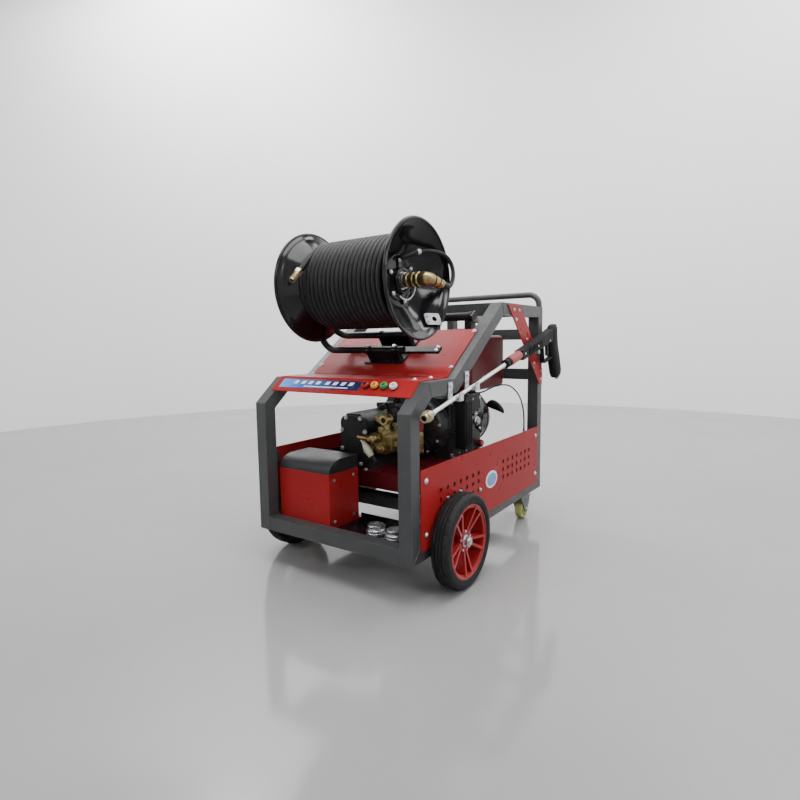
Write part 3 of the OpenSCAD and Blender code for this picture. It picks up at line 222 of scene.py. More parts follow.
# Rubber, plastics and films
surface("rubber", (0.011, 0.011, 0.012), (0.006, 0.006, 0.007), 30.0, (0.46, 0.62), (1100.0, 0.3),
        specular=0.3)
surface("grip_rubber", (0.012, 0.012, 0.013), (0.007, 0.007, 0.0075), 30.0, (0.55, 0.7), (1100.0, 0.3),
        specular=0.14)
surface("tyre", (0.0085, 0.0085, 0.009), (0.0048, 0.0048, 0.0052), 26.0, (0.56, 0.74), (650.0, 0.3),
        wear=(0.018, 0.0175, 0.017), specular=0.32)
surface("black_plastic", (0.013, 0.013, 0.0145), (0.008, 0.008, 0.009), 16.0, (0.34, 0.48), (1600.0, 0.22),
        wear=(0.036, 0.036, 0.038), specular=0.24)
surface("red_plastic", (0.31, 0.011, 0.013), (0.24, 0.007, 0.009), 16.0, (0.3, 0.44), (1500.0, 0.12))
surface("caster_plastic", (0.56, 0.6, 0.2), (0.42, 0.46, 0.12), 30.0, (0.3, 0.45), (900.0, 0.08),
        transmission=0.3)
surface("yellow_plastic", (0.85, 0.36, 0.03), (0.74, 0.29, 0.02), 40.0, (0.3, 0.42), (1500.0, 0.08))
surface("green_plastic", (0.05, 0.27, 0.07), (0.035, 0.2, 0.05), 40.0, (0.3, 0.42), (1500.0, 0.08))
surface("white_plastic", (0.8, 0.8, 0.77), (0.68, 0.68, 0.65), 40.0, (0.3, 0.42), (1500.0, 0.08))
surface("cream_plastic", (0.72, 0.7, 0.52), (0.58, 0.56, 0.4), 40.0, (0.28, 0.42), (1500.0, 0.08))
surface("blue_film", (0.16, 0.28, 0.52), (0.10, 0.2, 0.44), 30.0, (0.25, 0.35), (900.0, 0.03))
surface("band_film", (0.05, 0.26, 0.62), (0.012, 0.02, 0.09), 4.0, (0.22, 0.32), (900.0, 0.03))

# The studio's floor and wall
surface("studio_floor", (0.3, 0.3, 0.302), (0.275, 0.275, 0.277), 1.2, (0.09, 0.14), (300.0, 0.01),
        specular=0.45)
surface("studio_wall", (0.86, 0.86, 0.855), (0.83, 0.83, 0.825), 0.5, (0.8, 0.9), (200.0, 0.01))

# The front band, and its blue that darkens along it
BAND_LEFT = -263
BAND_RIGHT = 84
BAND_STOPS = [(0.0, (0.06, 0.3, 0.7)), (0.3, (0.02, 0.11, 0.38)), (0.7, (0.012, 0.025, 0.11)),
              (1.0, (0.01, 0.012, 0.05))]


def fade_band():
    tree = FINISH["band_film"].node_tree
    split = add_node(tree, "SeparateXYZ")
    tree.links.new(tree.nodes["Texture Coordinate"].outputs["Object"], split.inputs["Vector"])
    along_band = spread(tree, split.outputs["X"], BAND_LEFT * MM, BAND_RIGHT * MM)
    blue = ramp(tree, along_band, BAND_STOPS)
    tree.links.new(blue, tree.nodes["Principled BSDF"].inputs["Base Color"])


fade_band()

# Shading by angle, as a modifier, so that no mesh is changed
SHARP_ANGLE = 34.0
BEVEL_ANGLE = 40.0
FLAT_ANGLE = 0.4
WELD_GAP = 0.00002


def angle_group():
    group = bpy.data.node_groups.new("smooth_by_angle", "GeometryNodeTree")
    for way in ("INPUT", "OUTPUT"):
        group.interface.new_socket("Geometry", in_out=way, socket_type="NodeSocketGeometry")
    last = group.nodes.new("NodeGroupInput")
    end = group.nodes.new("NodeGroupOutput")
    angle = group.nodes.new("GeometryNodeInputMeshEdgeAngle")
    sharp = group.nodes.new("FunctionNodeCompare")
    sharp.data_type = "FLOAT"
    sharp.operation = "GREATER_THAN"
    sharp.inputs["B"].default_value = math.radians(SHARP_ANGLE)
    group.links.new(angle.outputs["Unsigned Angle"], sharp.inputs["A"])
    for domain, smooth in (("FACE", True), ("EDGE", False)):
        step = group.nodes.new("GeometryNodeSetShadeSmooth")
        step.domain = domain
        step.inputs["Shade Smooth"].default_value = smooth
        group.links.new(last.outputs[0], step.inputs["Geometry"])
        last = step
    group.links.new(sharp.outputs["Result"], last.inputs["Selection"])
    group.links.new(last.outputs["Geometry"], end.inputs[0])
    return group


SMOOTH = angle_group()


def shade(obj):
    obj.modifiers.new("smooth", "NODES").node_group = SMOOTH


def soften(obj, width, segments=2):
    """Rounds the sharp edges by a width in millimetres."""
    bevel = obj.modifiers.new("edges", "BEVEL")
    bevel.width = width * MM
    bevel.segments = segments
    bevel.limit_method = "ANGLE"
    bevel.angle_limit = math.radians(BEVEL_ANGLE)
    bevel.use_clamp_overlap = True


def settle(obj):
    """Shades by angle, and lets the large faces of a rounded piece stay flat."""
    shade(obj)
    normals = obj.modifiers.new("normals", "WEIGHTED_NORMAL")
    normals.keep_sharp = True
    normals.weight = 90


def paint(obj, mat):
    """Gives a piece one material in place of what it came with."""
    if len(obj.material_slots) == 0:
        obj.data.materials.append(mat)
        return
    for held in obj.material_slots:
        held.link = "OBJECT"
        held.material = mat


def dress(finish, edge, *names):
    """Finishes CAD nodes that stay: one material, welded faces, rounded edges."""
    for name in names:
        obj = NODES[name]
        paint(obj, FINISH[finish])
        weld = obj.modifiers.new("weld", "WELD")
        weld.merge_threshold = WELD_GAP
        if edge > 0:
            flat = obj.modifiers.new("flat", "DECIMATE")
            flat.decimate_type = "DISSOLVE"
            flat.angle_limit = math.radians(FLAT_ANGLE)
            soften(obj, edge)
        settle(obj)


# Places
WAYS = {
    "z": Matrix.Identity(4),
    "-z": Matrix.Rotation(math.pi, 4, "X"),
    "x": Matrix.Rotation(math.pi / 2, 4, "Y"),
    "-x": Matrix.Rotation(-math.pi / 2, 4, "Y"),
    "y": Matrix.Rotation(-math.pi / 2, 4, "X"),
    "-y": Matrix.Rotation(math.pi / 2, 4, "X"),
}
# Outlines drawn in YZ and pulled out along X, or drawn in XZ and pulled out towards the front
YZ = Matrix(((0, 0, 1, 0), (1, 0, 0, 0), (0, 1, 0, 0), (0, 0, 0, 1)))
XZ = Matrix(((1, 0, 0, 0), (0, 0, -1, 0), (0, 1, 0, 0), (0, 0, 0, 1)))
# The right side, and its mirror image on the left
SIDES = (Matrix.Identity(4), Matrix.Scale(-1, 4, (1, 0, 0)))


def move(x, y, z):
    return Matrix.Translation((x, y, z))


def spin(degrees):
    """A turn about +Z."""
    return Matrix.Rotation(math.radians(degrees), 4, "Z")


def ring_of(count, first=0.0):
    """Even turns about +Z, from a first one in degrees."""
    return [spin(first + 360 * i / count) for i in range(count)]


def place(x, y, z, axis="z", turn=0.0):
    """A place in millimetres whose own +Z points along an axis, turned about it in degrees."""
    return move(x, y, z) @ WAYS[axis] @ spin(turn)


def outward(side):
    """The axis that points away from the middle."""
    return "x" if side > 0 else "-x"


def pointing(way, up="X"):
    """A turn that brings +Z along a way."""
    return way.to_track_quat("Z", up).to_matrix().to_4x4()


def on_slope(x, s, n):
    """A place on the sloped top panel: across, up the slope, and out of it."""
    return move(0, SHELF_Y, SHELF_Z) @ Matrix.Rotation(SLOPE, 4, "X") @ move(x, s, n)


def on_chamfer(x, s, n):
    """A place on the front's sloped edge."""
    return move(0, FRONT_Y, POST_Z) @ Matrix.Rotation(CHAMFER, 4, "X") @ move(x, s, n)


def on_reel(x, y, z):
    """A place from the reel's middle."""
    return move(x, REEL_Y + y, REEL_Z + z)


# Outlines and lines
def turns(n):
    """Angles of n even steps round a circle."""
    return [2 * math.pi * k / n for k in range(n)]


def power(value):
    """Squares off a circle's sine or cosine to a rounded rectangle's."""
    return math.copysign(abs(value) ** 0.7, value)


def oval(wide, tall, n=48):
    return [(wide * math.cos(a), tall * math.sin(a)) for a in turns(n)]


def arc(cx, cy, r, a0, a1, n):
    """Points of an arc between two angles in degrees."""
    angles = [math.radians(a0 + (a1 - a0) * i / n) for i in range(n + 1)]
    return [(cx + r * math.cos(t), cy + r * math.sin(t)) for t in angles]


def round_box(y0, z0, y1, z1, r, n=6):
    """A rectangle with round corners, against the clock."""
    return (arc(y1 - r, z1 - r, r, 0, 90, n) + arc(y0 + r, z1 - r, r, 90, 180, n)
            + arc(y0 + r, z0 + r, r, 180, 270, n) + arc(y1 - r, z0 + r, r, 270, 360, n))


def catmull(points, n):
    """A smooth line through points, with n steps between two of them."""
    pts = [Vector(p) for p in points]
    ends = [2 * pts[0] - pts[1]] + pts + [2 * pts[-1] - pts[-2]]
    line = []
    for a, b, c, d in zip(ends, ends[1:], ends[2:], ends[3:]):
        for i in range(n):
            t = i / n
            line.append(0.5 * (2 * b + (c - a) * t + (2 * a - 5 * b + 4 * c - d) * t * t
                               + (3 * b - a - 3 * c + d) * t ** 3))
    return line + [pts[-1]]


class Shape:
    """Faces collected in millimetres."""

    def __init__(self):
        self.verts = []
        self.faces = []

    def add(self, verts, faces, at=None):
        base = len(self.verts)
        at = at or Matrix.Identity(4)
        self.verts += [at @ Vector(v) for v in verts]
        flip = at.determinant() < 0
        for face in faces:
            ids = [base + i for i in face]
            self.faces.append(ids[::-1] if flip else ids)
        return self

    def prism(self, outline, z0, z1, at=None):
        """An outline that runs against the clock, drawn out along +Z."""
        n = len(outline)
        verts = [(x, y, z) for z in (z0, z1) for x, y in outline]
        faces = [tuple(range(n - 1, -1, -1)), tuple(range(n, 2 * n))]
        faces += [(i, (i + 1) % n, n + (i + 1) % n, n + i) for i in range(n)]
        return self.add(verts, faces, at)

    def box(self, lo, hi, at=None):
        x0, y0, z0 = lo
        x1, y1, z1 = hi
        return self.prism([(x0, y0), (x1, y0), (x1, y1), (x0, y1)], z0, z1, at)

    def lathe(self, profile, at=None, sides=40, closed=False, start=0.0, sweep=360.0):
        """A profile of (radius, height) points turned about +Z; an end at radius 0 closes it."""
        whole = abs(sweep - 360.0) < 1e-6
        cols = sides if whole else sides + 1
        verts, faces, index = [], [], []
        for r, h in profile:
            if r < 1e-6:
                index.append([len(verts)] * cols)
                verts.append((0.0, 0.0, h))
            else:
                index.append(list(range(len(verts), len(verts) + cols)))
                for k in range(cols):
                    a = math.radians(start + sweep * k / sides)
                    verts.append((r * math.cos(a), r * math.sin(a), h))
        following = index[1:] + index[:1] if closed else index[1:]
        for low, high in zip(index, following):
            for k in range(sides):
                m = (k + 1) % cols
                ids = [low[k], low[m], high[m], high[k]]
                ids = [v for i, v in enumerate(ids) if v not in ids[:i]]
                if len(ids) > 2:
                    faces.append(tuple(ids))
        return self.add(verts, faces, at)

    def rod(self, r, z0, z1, at=None, sides=28, edge=0.8):
        """A round bar with chamfered ends."""
        e = min(edge, r * 0.4, (z1 - z0) * 0.4)
        return self.lathe([(0, z0), (r - e, z0), (r, z0 + e), (r, z1 - e), (r - e, z1), (0, z1)], at, sides)

    def ring(self, r0, r1, z0, z1, at=None, sides=36, edge=0.5):
        """A round sleeve with chamfered edges."""
        e = min(edge, (r1 - r0) * 0.3, (z1 - z0) * 0.3)
        profile = [(r0, z0 + e), (r0 + e, z0), (r1 - e, z0), (r1, z0 + e),
                   (r1, z1 - e), (r1 - e, z1), (r0 + e, z1), (r0, z1 - e)]
        return self.lathe(profile, at, sides, closed=True)

    def hexagon(self, across, z0, z1, at=None):
        """A hex head whose corners are cut back at its top."""
        r = across / 2 / math.cos(math.pi / 6)
        profile = [(0, z0), (r, z0), (r, z1 - 0.066 * across), (0.48 * across, z1), (0, z1)]
        return self.lathe(profile, at, 6)

    def bolt(self, d, at, washer=True):
        """A hex bolt head on a washer, standing along +Z, for a thread of diameter d."""
        t = 0.18 * d if washer else 0.0
        if washer:
            self.rod(1.05 * d, 0, t, at, 24, 0.3)
        return self.hexagon(1.6 * d, t, t + 0.65 * d, at)

    def bolts(self, d, places, washer=True):
        for at in places:
            self.bolt(d, at, washer)
        return self

    def tube(self, path, r, sides=16):
        """A round tube along a path, its rings carried from one to the next; r may be a size per point."""
        pts = [Vector(p) for p in path]
        n = len(pts)
        radii = list(r) if hasattr(r, "__len__") else [r] * n
        ways = [(pts[min(i + 1, n - 1)] - pts[max(i - 1, 0)]).normalized() for i in range(n)]
        side = ways[0].orthogonal().normalized()
        rings = []
        for point, radius, way in zip(pts, radii, ways):
            side = (side - way * side.dot(way)).normalized()
            other = way.cross(side)
            rings.append([point + radius * (math.cos(a) * side + math.sin(a) * other) for a in turns(sides)])
        return self.loft(rings)

    def loft(self, rings, at=None):
        """A skin over rings of equally many points, closed at both ends."""
        n = len(rings[0])
        verts = [p for ring in rings for p in ring]
        faces = [(i * n + k, i * n + (k + 1) % n, (i + 1) * n + (k + 1) % n, (i + 1) * n + k)
                 for i in range(len(rings) - 1) for k in range(n)]
        faces += [tuple(range(n))[::-1], tuple(range(len(verts) - n, len(verts)))]
        return self.add(verts, faces, at)

    def frame(self, outer, inner, z0, z1, at=None):
        """A plate with one hole, from two outlines of equally many points."""
        n = len(outer)
        verts = [(x, y, z) for z in (z0, z1) for ring in (outer, inner) for x, y in ring]
        faces = []
        for i in range(n):
            k = (i + 1) % n
            faces.append((i, n + i, n + k, k))
            faces.append((2 * n + i, 2 * n + k, 3 * n + k, 3 * n + i))
            faces.append((i, k, 2 * n + k, 2 * n + i))
            faces.append((n + i, 3 * n + i, 3 * n + k, n + k))
        return self.add(verts, faces, at)

    def make(self, name, finish, edge=0.0, segments=2):
        """Makes the object, in metres, with its finish and its rounded edges."""
        mesh = bpy.data.meshes.new(name)
        mesh.from_pydata([v * MM for v in self.verts], [], self.faces)
        mesh.validate()
        bm = bmesh.new()
        bm.from_mesh(mesh)
        bmesh.ops.recalc_face_normals(bm, faces=bm.faces)
        bm.to_mesh(mesh)
        bm.free()
        obj = bpy.data.objects.new(name, mesh)
        bpy.context.scene.collection.objects.link(obj)
        mesh.materials.append(FINISH[finish])
        if edge > 0:
            soften(obj, edge, segments)
            settle(obj)
        else:
            shade(obj)
        return obj


PIECES = []


class Piece(Shape):
    """A piece that rides on a body, made once all pieces are drawn."""

    def __init__(self, name, slot, edge=0.0, body="chassis", finish=None, replaces=(), segments=2):
        super().__init__()
        self.name = name
        self.slot = slot
        self.edge = edge
        self.body = body
        self.finish = finish or slot
        self.replaces = replaces
        self.segments = segments
        PIECES.append(self)

    def build(self):
        self.obj = self.make(self.name, self.finish, self.edge, self.segments)
        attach(self.obj, self.body)
        if self.replaces:
            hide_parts(*self.replaces)


# The hose: four layers wound on the drum, from its start on the barrel to the fitting
HOSE_D = 17.0
HOSE_PITCH = 17.6
LAYERS = [93.6, 108.9, 124.2, 139.5]
FLANGE_ROOM = 11.5
CLIMB = 0.5
TAIL_ANGLE = 134.0
WIND_X0 = 168.33
OUTER_TURNS = 17
LEAD = 40.0
CRIMP_L = 48.0
HELIX = math.atan(HOSE_PITCH / (2 * math.pi * LAYERS[3]))
END_X = WIND_X0 - OUTER_TURNS * HOSE_PITCH
BARREL_R = 85.0
FLANGE_X = 146.0
FLANGE_DEEP = 76.0
FLANGE_WIDE = 104.0


def flange_in(r):
    """Inner face of a flange at a radius."""
    return FLANGE_X + (r - BARREL_R) * FLANGE_DEEP / FLANGE_WIDE


def hose_path():
    """Points of the hose in the reel's axes, from the barrel outwards, with the tail's start and way."""
    ends = [flange_in(r) - FLANGE_ROOM for r in LAYERS[:3]]
    counts = [2 * x / HOSE_PITCH for x in ends]
    runs = [
        (counts[0], -ends[0], ends[0], LAYERS[0], LAYERS[0], 16),
        (CLIMB, ends[0], ends[1], LAYERS[0], LAYERS[1], 16),
        (counts[1], ends[1], -ends[1], LAYERS[1], LAYERS[1], 16),
        (CLIMB, -ends[1], -ends[2], LAYERS[1], LAYERS[2], 16),
        (counts[2], -ends[2], ends[2], LAYERS[2], LAYERS[2], 28),
        (CLIMB, ends[2], WIND_X0, LAYERS[2], LAYERS[3], 28),
        (OUTER_TURNS, WIND_X0, END_X, LAYERS[3], LAYERS[3], 40),
    ]
    angle = TAIL_ANGLE / 360.0 - sum(counts) - 3 * CLIMB
    line = []
    for count, x0, x1, r0, r1, rings in runs:
        steps = max(2, round(count * rings))
        for i in range(steps):
            t = i / steps
            a = 2 * math.pi * (angle + count * t)
            r = r0 + (r1 - r0) * t
            line.append((x0 + (x1 - x0) * t, r * math.cos(a), r * math.sin(a)))
        angle += count
    tail = math.radians(TAIL_ANGLE)
    way = Vector((-math.sin(HELIX), -math.cos(HELIX) * math.sin(tail), math.cos(HELIX) * math.cos(tail)))
    last = Vector((END_X, LAYERS[3] * math.cos(tail), LAYERS[3] * math.sin(tail)))
    line += [tuple(last + way * d) for d in (0.0, 10.0, 20.0, 30.0, LEAD)]
    return line, last, way


hose_line, tail_at, tail_way = hose_path()
hose_points = [on_reel(*p).to_translation() for p in hose_line]
hose = Piece("wound_hose", "rubber", body="reel", replaces=("hose_winding", "hose_core"))
hose.tube(hose_points, HOSE_D / 2, 14)


def tail_place(d):
    """A place on the hose's tail, its +Z along the tail, d past the winding's end."""
    return on_reel(*(tail_at + tail_way * d)) @ pointing(tail_way)


profile = [(HOSE_D / 2 - 0.4, 0.0), (9.6, 0.0), (10.0, 0.8)]
for z in (4.0 + 8.4 * i for i in range(5)):
    profile += [(10.0, z), (9.2, z + 1.2), (9.2, z + 3.2), (10.0, z + 4.4)]
profile += [(10.0, 46.6), (9.4, CRIMP_L), (0.0, CRIMP_L)]
hose_crimp = Piece("hose_crimp", "black_plastic", body="reel").lathe(profile, tail_place(LEAD + 0.1), 32)

hose_end = Piece("hose_end_fitting", "brass", body="reel", finish="pale_brass", replaces=("hose_fitting",))
hose_end.hexagon(24.0, 0.0, 16.0, tail_place(LEAD + CRIMP_L))
profile = [(10.2, 15.5), (10.2, 20.0), (9.0, 21.0)]
for z in (21.0 + 3.2 * i for i in range(7)):
    profile += [(9.2, z), (10.9, z + 1.3), (10.9, z + 1.8), (9.2, z + 3.0)]
profile += [(9.6, 45.0), (9.0, 48.0), (7.2, 48.0), (7.0, 46.0), (7.0, 20.0), (0.0, 20.0)]
hose_end.lathe(profile, tail_place(LEAD + CRIMP_L), 32)

# The short hose from the rotary joint into the dish
ELBOW_X = DISH_X + 103.0
TAIL_DROP = math.radians(7.0)
TAIL_WAY = Vector((0, math.cos(TAIL_DROP), -math.sin(TAIL_DROP)))
TAIL_L = 115.05
JUMPER_D = 14.0
JUMPER_ROUTE = [(102, 146, -6), (100, 160, 12), (97, 167, 36), (93, 162, 60), (87, 148, 79), (79, 127, 90),
                (70, 104, 95), (61, 80, 96), (52, 57, 94), (43, 36, 90), (33, 18, 84), (23, 4, 77),
                (12, -6, 71), (0.05, -6, 71)]
jumper_start = Vector((ELBOW_X, 0, 0)) + TAIL_L * TAIL_WAY
jumper_line = [jumper_start, jumper_start + JUMPER_D * TAIL_WAY]
jumper_line += [Vector((DISH_X + x, y, z)) for x, y, z in JUMPER_ROUTE]
jumper_points = [on_reel(*p).to_translation() for p in catmull(jumper_line, 6)]
jumper = Piece("jumper_tube", "rubber", body="reel", replaces=("jumper_hose",))
jumper.tube(jumper_points, JUMPER_D / 2, 16)

# The throttle cable, from the top of the air cleaner to a clip on the rear rail
CABLE_D = 6.0
CABLE_START = (145.0, 63.115, 550.5)
CABLE_CLIP = (253, 413.115, 360.5)
CABLE_ROUTE = [(0, 0, 0), (0, 0, 8), (10, 4, 16), (30, 9, 17), (50, 16, 17), (70, 26, 22), (86, 42, 32),
               (98, 66, 40), (105, 100, 43), (108, 145, 41), (108, 190, 33), (108, 235, 17), (108, 278, -6),
               (108, 312, -36), (108, 336, -72), (108, 348, -112), (108, 350, -152), (108, 350, -190)]
cable_points = catmull([tuple(a + b for a, b in zip(CABLE_START, step)) for step in CABLE_ROUTE], 5)
cable = Piece("throttle_line", "rubber", replaces=("throttle_cable",)).tube(cable_points, CABLE_D / 2, 12)

# CAD nodes that keep their own shape
dress("frame_paint", 2.2, "side_frame_left", "side_frame_right", "cross_rails")
dress("frame_paint", 0.8, "push_handle")
# The battery lid takes the darker copy of the frame paint: painted shade
dress("shade_painted_frame_paint", 2.2, "battery_lid")
dress("red_paint", 0.0, "side_panel_left", "side_panel_right")
dress("red_paint", 0.9, "front_panel", "top_panel", "battery_box")
# The engine bed takes the darker copy of the red paint: painted shade
dress("shade_painted_red", 0.9, "engine_bed")
dress("black_paint", 0.0, "base_tray")
dress("black_paint", 1.6, "engine_shroud")
dress("stand_paint", 0.9, "reel_stand")
dress("zinc", 0.5, "panel_bolts", "wheel_axle", "reel_axle")
# The casters' plates, forks and brakes take the darker copy of the zinc: painted shade
dress("shade_painted_zinc", 0.5, "caster_plates", "caster_fork_left", "caster_fork_right", "caster_brake_left",
      "caster_brake_right")
dress("steel", 0.5, "engine_crank", "pump_crank")
dress("red_plastic", 1.6, "rim_left", "rim_right")
dress("caster_plastic", 0.8, "caster_wheel_left", "caster_wheel_right")
dress("black_plastic", 1.6, "battery", "intake", "recoil_starter", "guide_roller")
dress("engine_cast", 1.5, "engine_block", "gear_case", "pump_crankcase", "muffler")
dress("brass", 1.2, "pump_head", "unloader")

# Frame: weld beads along the mitres and where the cross rails meet the sides
SIDE_LOOP = [(FRONT_Y, BASE_Z), (FRONT_Y, POST_Z), (CHAMFER_Y, SHELF_Z), (SHELF_Y, SHELF_Z),
             (RIDGE_Y, TOP_Z), (BACK_Y, TOP_Z), (BACK_Y, BASE_Z)]
RAIL_ENDS = [(FRONT_Y, BASE_Z), (BACK_Y - TUBE, BASE_Z), (RIDGE_Y, TOP_Z - TUBE), (BACK_Y - TUBE, 600.5),
             (BACK_Y - TUBE, 770.5)]
MITRE_BEAD = 1.3
RAIL_BEAD = 1.8
BEAD_GAP = 2


def mitre_ends():
    """Outer and inner corner of each joint in the side frame."""
    found = []
    n = len(SIDE_LOOP)
    for i in range(n):
        a, b, c = (Vector(SIDE_LOOP[k % n]) for k in (i - 1, i, i + 1))
        u, v = (b - a).normalized(), (c - b).normalized()
        half = (Vector((u.y, -u.x)) + Vector((v.y, -v.x))).normalized()
        reach = TUBE / half.dot(Vector((u.y, -u.x)))
        found.append((b, b + half * reach))
    return found


def bead(shape, start, end, r, at):
    """A weld bead with a slow ripple."""
    n = max(4, int((end - start).length / 2.5))
    path = [at @ start.lerp(end, i / n) for i in range(n + 1)]
    shape.tube(path, [r * (0.8 + 0.25 * math.sin(i * 2.1)) for i in range(n + 1)], 8)


welds = Piece("frame_welds", "frame_paint")
for at in SIDES:
    for outer, inner in mitre_ends():
        for x in (HALF_W, INNER_W):
            start, end = Vector((x, *outer)), Vector((x, *inner))
            bead(welds, start.lerp(end, 0.05), start.lerp(end, 0.97), MITRE_BEAD, at)
    for y, z in RAIL_ENDS:
        along_y = ((y + BEAD_GAP, z + TUBE), (y + TUBE - BEAD_GAP, z + TUBE))
        along_z = ((y, z + BEAD_GAP), (y, z + TUBE - BEAD_GAP))
        for start, end in (along_y, along_z):
            bead(welds, Vector((INNER_W, *start)), Vector((INNER_W, *end)), RAIL_BEAD, at)

# Side panels: bolts round the wheel's bracket, plain oval discs, and fine dark sheets behind the holes,
# painted shade where the machine's shaded inside shows through
BRACKET_BOLTS = [(-414.9, 256.8), (-379.3, 283.2), (-296.5, 284.4), (-154.3, 256.5)]
DISC_PLACE = place(PANEL_X, -60.6, 272.7, "x")
bolts = Piece("bracket_bolts", "zinc", 0.3)
disc_rim = Piece("side_disc_rim", "white_plastic", 0.4)
disc = Piece("side_disc", "white_plastic", 0.3, finish="blue_film")
shade_sheets = Piece("panel_shade_sheets", "black_plastic")
for at in SIDES:
    bolts.bolts(6.5, [at @ place(PANEL_X, y, z, "x", 17 * y) for y, z in BRACKET_BOLTS])
    disc_rim.prism(oval(31, 47), 0, 1.2, at @ DISC_PLACE)
    disc.prism(oval(23, 38), 1.2, 1.9, at @ DISC_PLACE)
    # Painted shade: a dark sheet with fine slats behind each panel's holes
    shade_sheets.box((313.5, -470, 196), (316.4, 360, 345), at)
    for y in range(-460, 360, 14):
        shade_sheets.box((312.6, y, 198), (313.6, y + 3, 343), at)

# Front band with plain marks
FRONT = on_chamfer(0, 0, 0)
Piece("front_band", "black_plastic", 0.2, finish="band_film").prism(
    round_box(BAND_LEFT, 78, BAND_RIGHT, 118, 2, 3), 3.0, 3.8, FRONT)
marks = Piece("front_band_marks", "white_plastic", 0.1)
for i in range(8):
    x = -205 + i * 33 + (8 if i > 3 else 0)
    marks.prism([(x, 97), (x + 17, 97), (x + 21, 111), (x + 4, 111)], 3.7, 4.1, FRONT)
marks.prism(round_box(-150, 84, 40, 88, 1.5, 3), 3.7, 4.1, FRONT)

# Spray tips in their grommets
TIP_X = 108.0
TIP_PITCH = 35
TIP_S = 97.835
TIP_COLLAR = [(5.4, 9.5), (5.4, 6.8), (10.8, 6.8), (12.0, 8.0), (12.0, 15.0), (10.6, 17.2), (7.6, 17.8),
              (6.4, 16.8), (5.4, 12.0)]
TIP_STEM = [(0, -13.8), (3.6, -13.8), (4.4, -13.0), (4.4, -9.6), (3.8, -9.2), (3.8, -7.4), (5.8, -6.6),
            (5.8, 6.4), (5.3, 6.9), (5.3, 9.0), (2.4, 9.0), (1.4, 7.0), (0, 7.0)]
grommets = Piece("tip_grommets", "rubber")
for i, colour in enumerate(("red", "yellow", "green", "white")):
    at = on_chamfer(TIP_X + TIP_PITCH * i, TIP_S, 0)
    grommets.ring(6.2, 13.0, 3.0, 6.6, at, 36, 0.8)
    body = "nozzle_" + colour
    collar = Piece("tip_collar_" + colour, colour + "_plastic", body=body, replaces=("tip_" + colour,))
    collar.lathe(TIP_COLLAR, at, 36, closed=True)
    Piece("tip_stem_" + colour, "zinc", body=body).lathe(TIP_STEM, at, 28)

# Wheels: a tread cut into the tyre's shoulders, rim trim and hub bolts
TYRE_W = 62
TYRE_HALF = [(117.05, 5), (119.5, 2.4), (123, 0.9), (126.5, 0.5), (127.1, 1.4), (128.4, 1.4), (129, 0.4),
             (133, 0.1), (137, 0.4), (141, 1.6), (145, 4.8), (148.2, 9.2), (149.8, 14.5), (150, 17.6),
             (146.4, 18.6), (146.4, 21.2), (150, 22.2), (150, 29.4), (146.4, 30.2)]
TYRE = TYRE_HALF + [(r, TYRE_W - h) for r, h in TYRE_HALF[::-1]]
TREAD_STEPS = 168
TREAD_CUT = 2.6
RIM_SPOKES = 5


def tread_point(k, r, h):
    """A point of the tyre's skin, pulled in where a cut crosses a shoulder."""
    cut = k % 7 == (0 if h < TYRE_W / 2 else 3) and r > 145.5 and not 20 < h < 42
    reach = r - TREAD_CUT if cut else r
    a = 2 * math.pi * k / TREAD_STEPS
    return reach * math.cos(a), reach * math.sin(a), h


for side, name in ((-1, "left"), (1, "right")):
    at = place(side * WHEEL_X, WHEEL_Y, WHEEL_Z, outward(side))
    body = "wheel_" + name
    n = len(TYRE)
    verts = [tread_point(k, r, h) for r, h in TYRE for k in range(TREAD_STEPS)]
    faces = []
    for j in range(n):
        low, high = j * TREAD_STEPS, (j + 1) % n * TREAD_STEPS
        for k in range(TREAD_STEPS):
            m = (k + 1) % TREAD_STEPS
            faces.append((low + k, low + m, high + m, high + k))
    Piece("tread_tyre_" + name, "tyre", body=body, replaces=("tyre_" + name,)).add(verts, faces, at)
    trim = Piece("rim_trim_" + name, "red_plastic", 0.8, body)
    trim.ring(111.5, 116.6, 55.0, 58.6, at, 96, 1.2)
    trim.ring(111.5, 116.6, 3.4, 7.0, at, 96, 1.2)
    trim.ring(22.5, 27.6, 41.0, 44.2, at, 48, 0.8)
    trim.ring(27.0, 34.5, 30.0, 42.5, at, 48, 1.4)
    for i in range(RIM_SPOKES):
        middle = 360 / RIM_SPOKES * i
        for turn in (spin(middle - 11), spin(middle + 11)):
            trim.prism([(32, 30), (107, 30), (107, 57.4), (32, 42.5)], -4.6, 4.6, at @ turn @ XZ)
        trim.lathe([(104.5, 46), (111.8, 46), (111.8, 57.6), (104.5, 56.6)], at, 12, closed=True,
                   start=middle - 12.6, sweep=25.2)
    Piece("hub_bolts_" + name, "zinc", 0.2, body).bolts(
        4.2, [at @ turn @ move(30.8, 0, 42.4) for turn in ring_of(RIM_SPOKES, 36)], False)

# Casters: axle nuts, hub discs, and the swivel race with its plate's bolts
CASTER_X = 262
CASTER_Y = 372.115
CASTER_Z = 40
SWIVEL_Y = 340.115
for side, name in ((-1, "left"), (1, "right")):
    x = side * CASTER_X
    Piece("caster_nuts_" + name, "zinc", 0.3, "caster_" + name).bolts(
        8.5, [place(x + k * 22.5, CASTER_Y, CASTER_Z, outward(k), 20) for k in (-1, 1)])
    hubs = Piece("caster_hubs_" + name, "black_plastic", body="caster_roll_" + name)
    for k in (-1, 1):
        at = place(x, CASTER_Y, CASTER_Z, outward(k))
        hubs.ring(6.5, 13.5, 15.6, 17.6, at, 32, 0.6)
        hubs.ring(24, 27, 15.8, 17.0, at, 40, 0.4)
    race = Piece("caster_race_" + name, "zinc", 0.3)
    race.ring(26.2, 29.6, 115.6, 122.6, place(x, SWIVEL_Y, 0), 48, 1.0)
    race.bolts(7.0, [place(x + dx, SWIVEL_Y + dy, 123.5, "-z", 25) for dx in (-34, 34) for dy in (-31, 31)])

